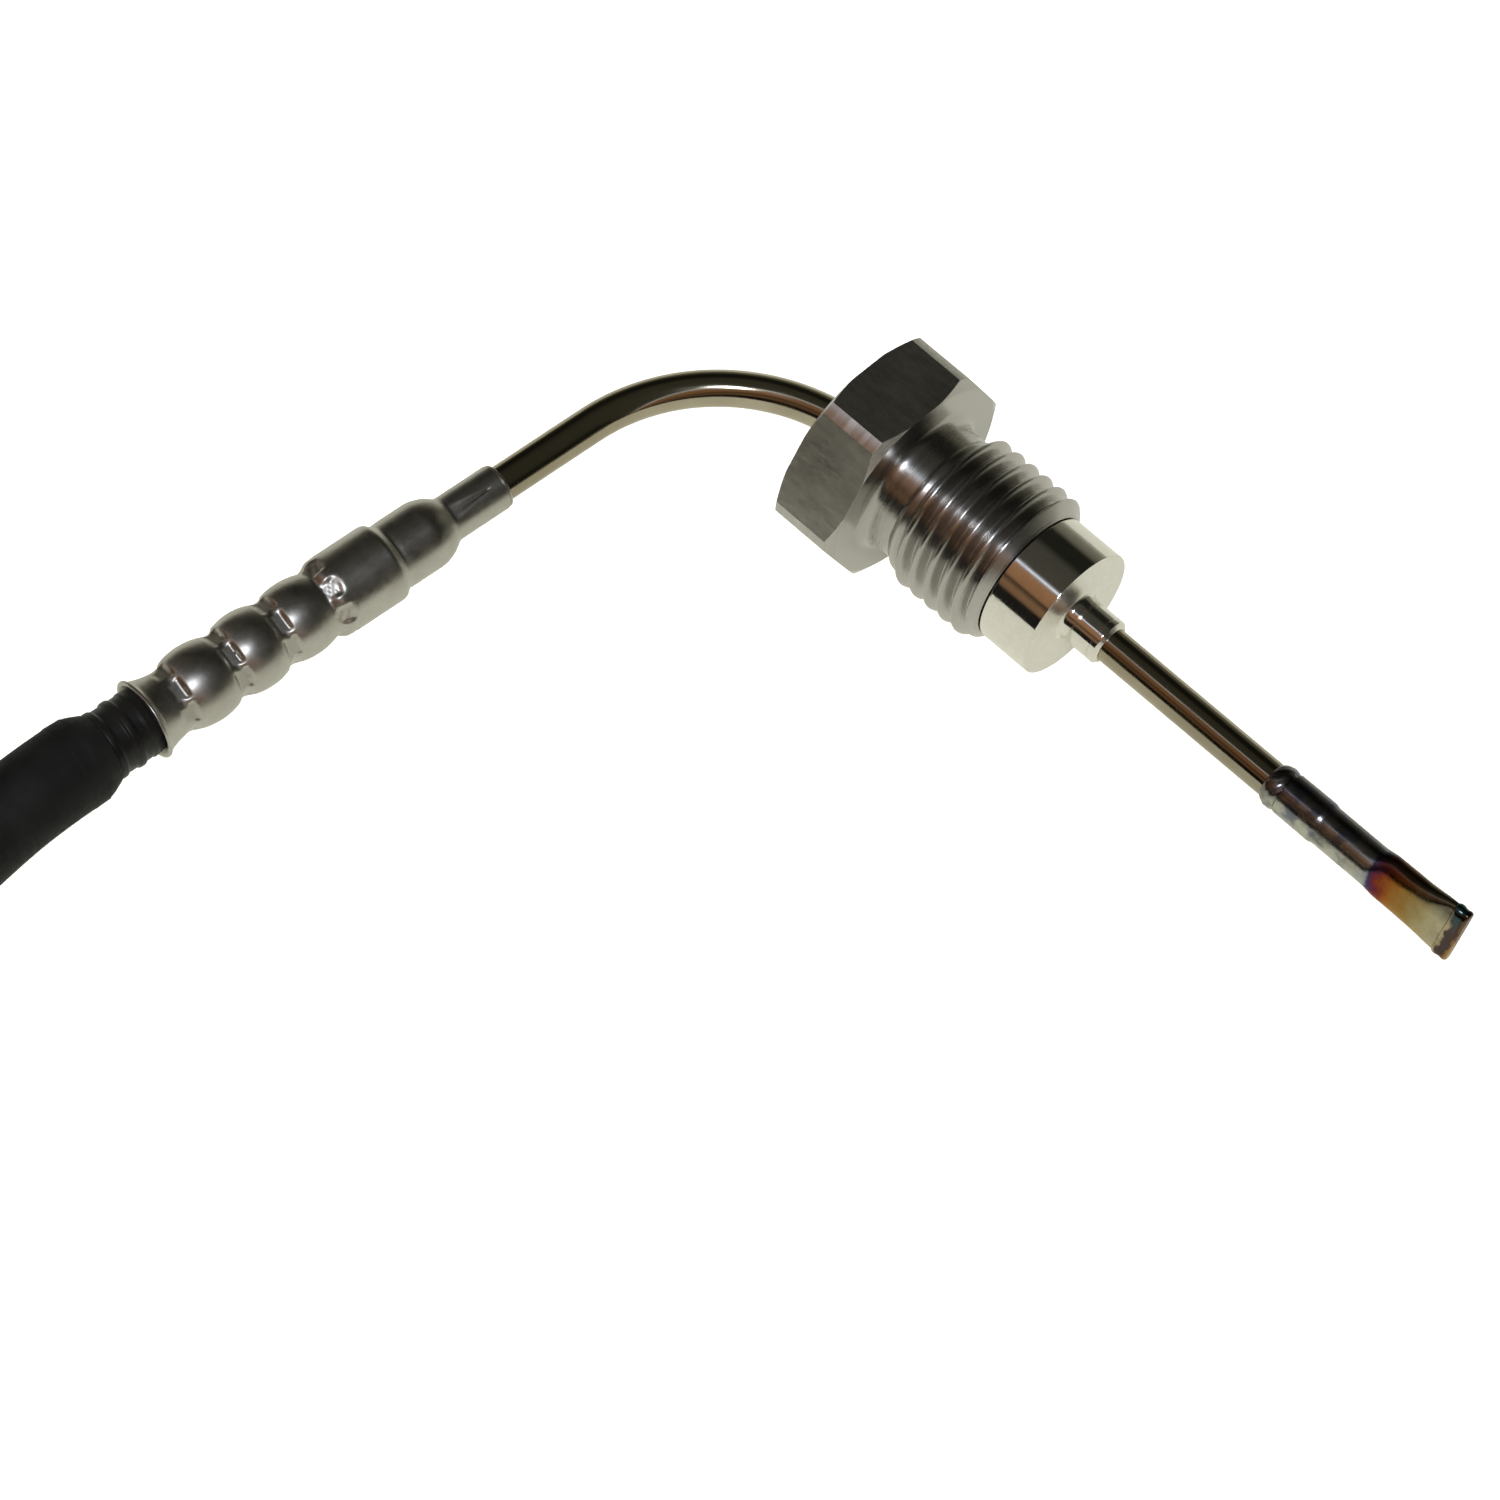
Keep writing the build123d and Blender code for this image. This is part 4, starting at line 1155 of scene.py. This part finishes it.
def grip_ribs_tree(sizes):
    """Rows of rounded bars on both sides of the plug."""
    tree, given, result = new_group("GeometryNodeTree", "grip_ribs", sizes, ["Geometry"])
    bar = node(tree, "GeometryNodeMeshCube", {"Size": given["Bar"]})
    smoothing = {"Mesh": bar.outputs[0], "Level": 2, "Edge Crease": 0.55}
    bar = node(tree, "GeometryNodeSubdivisionSurface", smoothing)
    joined = tree.nodes.new("GeometryNodeJoinGeometry")
    for side in (-0.5, 0.5):
        away = node(tree, "ShaderNodeCombineXYZ", {0: given["Apart"] * side})
        start = node(tree, "ShaderNodeVectorMath", {0: given["First"], 1: away.outputs[0]})
        step = node(tree, "ShaderNodeCombineXYZ", {1: given["Spacing"]})
        line = {"Count": given["Count"], "Start Location": start.outputs[0], "Offset": step.outputs[0]}
        points = node(tree, "GeometryNodeMeshLine", line).outputs[0]
        bars = node(tree, "GeometryNodeInstanceOnPoints", {"Points": points, "Instance": bar.outputs[0]})
        tree.links.new(bars.outputs[0], joined.inputs[0])
    whole = node(tree, "GeometryNodeRealizeInstances", {"Geometry": joined.outputs[0]})
    smooth = node(tree, "GeometryNodeSetShadeSmooth", {"Geometry": whole.outputs[0]})
    finished(tree, smooth.outputs[0], given["Plastic"], result)
    return tree


def grip_ribs():
    return grown("grip_ribs", grip_ribs_tree, {
        "Count": 6, "Spacing": 1.5 * MM, "First": mm(PLUG[0], PLUG[1] + 4.0, PLUG[2] + 0.3),
        "Apart": PLUG_WIDE * MM, "Bar": mm(0.7, 0.7, 7.4), "Plastic": PLASTIC,
    })


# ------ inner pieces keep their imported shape
INNER_FINISHES = [
    (POWDER, "sheath_insulation element_cement"),
    (CERAMIC, "sensing_element splice_spacer"),
    (FUSED, "cold_end_seal"),
    (NICKEL, "conductor_a conductor_b splice_ferrule_a splice_ferrule_b"),
    (WIRE_WHITE, "lead_wire_a plug_lead_a"),
    (WIRE_GREY, "lead_wire_b plug_lead_b"),
    (TINNED, "plug_terminal_a plug_terminal_b"),
    (SILICONE, "plug_wire_seal_a plug_wire_seal_b"),
]


def finish_inner_pieces():
    for finish, names in INNER_FINISHES:
        for name in names.split():
            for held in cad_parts[name].material_slots:
                held.material = finish


# ------ room
def table_top():
    bpy.ops.mesh.primitive_plane_add(size=6.0, location=(0, 0, (TABLE - 0.03) * MM))
    table = bpy.context.object
    table.name = "table_top"
    material, tree, shader = new_material("pale_table", roughness=0.7, specular=0.2)
    grain = effect(tree, GRAIN, Fine=900.0, Broad=8.0)
    pale = mixed(tree, grain["Clouds"], (0.86, 0.855, 0.82), (0.88, 0.875, 0.84))
    # painted shade: in reflections the table is painted a darker grey than the pale table the camera sees
    mirrored = tree.nodes.new("ShaderNodeLightPath").outputs["Is Glossy Ray"]
    feed(tree, shader.inputs["Base Color"], mixed(tree, mirrored, pale, (0.43, 0.435, 0.385)))
    table.data.materials.append(material)


def lamp(name, kind, energy, colour, place, towards):
    data = bpy.data.lights.new(name, kind)
    data.energy = energy
    data.color = colour
    made = placed(name, data)
    made.location = place
    made.rotation_euler = (towards - place).to_track_quat("-Z", "Y").to_euler()
    return made


def soft_light(back):
    """An even wash that whitens the table, and a small cool window behind the camera."""
    middle = mm(-15, -25, 0)
    wash = lamp("table_wash", "SUN", 4.6, (1.0, 0.99, 0.965), middle + Vector((0, 0, 1)), middle)
    wash.data.angle = radians(40)
    wash.data.use_shadow = False
    wash.visible_glossy = False
    place = middle + back * 1.1 + Vector((-0.05, 0.05, 0.1))
    window = lamp("window", "AREA", 3.6, (0.82, 0.87, 1.0), place, middle)
    window.data.shape = "DISK"
    window.data.size = 0.17


def room():
    """A dim olive room: paler low down at the far side, warm wood behind the camera."""
    world = bpy.data.worlds.new("room")
    bpy.context.scene.world = world
    world.use_nodes = True
    tree = world.node_tree
    part = parted(tree, node(tree, "ShaderNodeTexCoord").outputs["Generated"])
    height = maths(tree, "ARCTAN2", part["Z"], part["Y"]) / pi
    tones = ramp(tree, height, [
        (0.0, 0.40, 0.395, 0.34),
        (0.05, 0.20, 0.195, 0.155),
        (0.14, 0.115, 0.11, 0.082),
        (0.19, 0.014, 0.014, 0.011),
        (0.34, 0.014, 0.014, 0.011),
        (0.40, 0.052, 0.050, 0.040),
        (0.595, 0.060, 0.057, 0.046),
        (0.610, 0.24, 0.25, 0.28),
        (0.620, 0.85, 0.9, 1.05),
        (0.628, 0.85, 0.9, 1.05),
        (0.638, 0.28, 0.27, 0.28),
        (0.655, 0.32, 0.165, 0.085),
        (0.76, 0.26, 0.135, 0.07),
        (0.785, 0.05, 0.032, 0.02),
        (0.83, 0.20, 0.115, 0.06),
        (0.87, 0.18, 0.10, 0.055),
        (0.895, 0.012, 0.011, 0.010),
        (1.0, 0.012, 0.012, 0.010),
    ])
    backdrop = next(n for n in tree.nodes if n.type == "BACKGROUND")
    tree.links.new(tones, backdrop.inputs["Color"])
    backdrop.inputs["Strength"].default_value = 1.0


# ------ assembly
def build():
    back = studio_camera()
    lead = hose()
    mouth = hose_mouth()
    table_top()
    soft_light(back)
    room()
    finish_inner_pieces()

    ready(nut_hexagon(), "nut", "nut_steel", "coupling_nut")
    ready(nut_thread(), "nut", "nut_steel", "coupling_nut")
    ready(seal_collar(), "probe", "polished_steel", "seal_collar")
    ready(probe_sheath(), "probe", "sheath_steel", "probe_sheath")
    ready(tip_bead(), "probe", "tinted_steel", "tip_weld")
    ready(tip_cap(), "probe", "tinted_steel", "tip_sleeve")
    ready(end_bead(), "probe", "tinted_steel", "end_weld")
    ready(transition_sleeve(), "probe", "sleeve_steel", "transition_sleeve")
    ready(sealing_grommet(), "probe", "black_rubber", "seal_grommet")

    ready(lead, "probe", "hose_black", "hose_front", "hose_coil", "hose_rear")
    on_lead = [
        ready(mouth, "probe", "hose_black"),
        ready(plug_boot(), "probe", "plug_black", "plug_boot"),
        ready(eased_copy("plug_housing", "plug_shell", PLASTIC, 0.3), "probe", "plug_black", "plug_housing"),
        ready(grip_ribs(), "probe", "plug_black"),
        ready(eased_copy("nose_seal", "nose_gasket", SILICONE, 0.35), "probe", "seal_rubber", "nose_seal"),
        ready(eased_copy("secondary_lock", "lock_bar", LOCK, 0.2), "lock", "lock_plastic", "secondary_lock"),
        ready(eased_copy("plug_latch", "latch_arm", PLASTIC, 0.25), "latch", "plug_black", "plug_latch"),
    ]
    for name in ("plug_terminal", "plug_wire_seal", "plug_lead"):
        on_lead += [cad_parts[name + "_a"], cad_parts[name + "_b"]]
    leaves = mm(*(RIM - TAIL_DIR * GROMMET_BACK))

    bpy.context.scene.view_settings.view_transform = "Standard"


build()
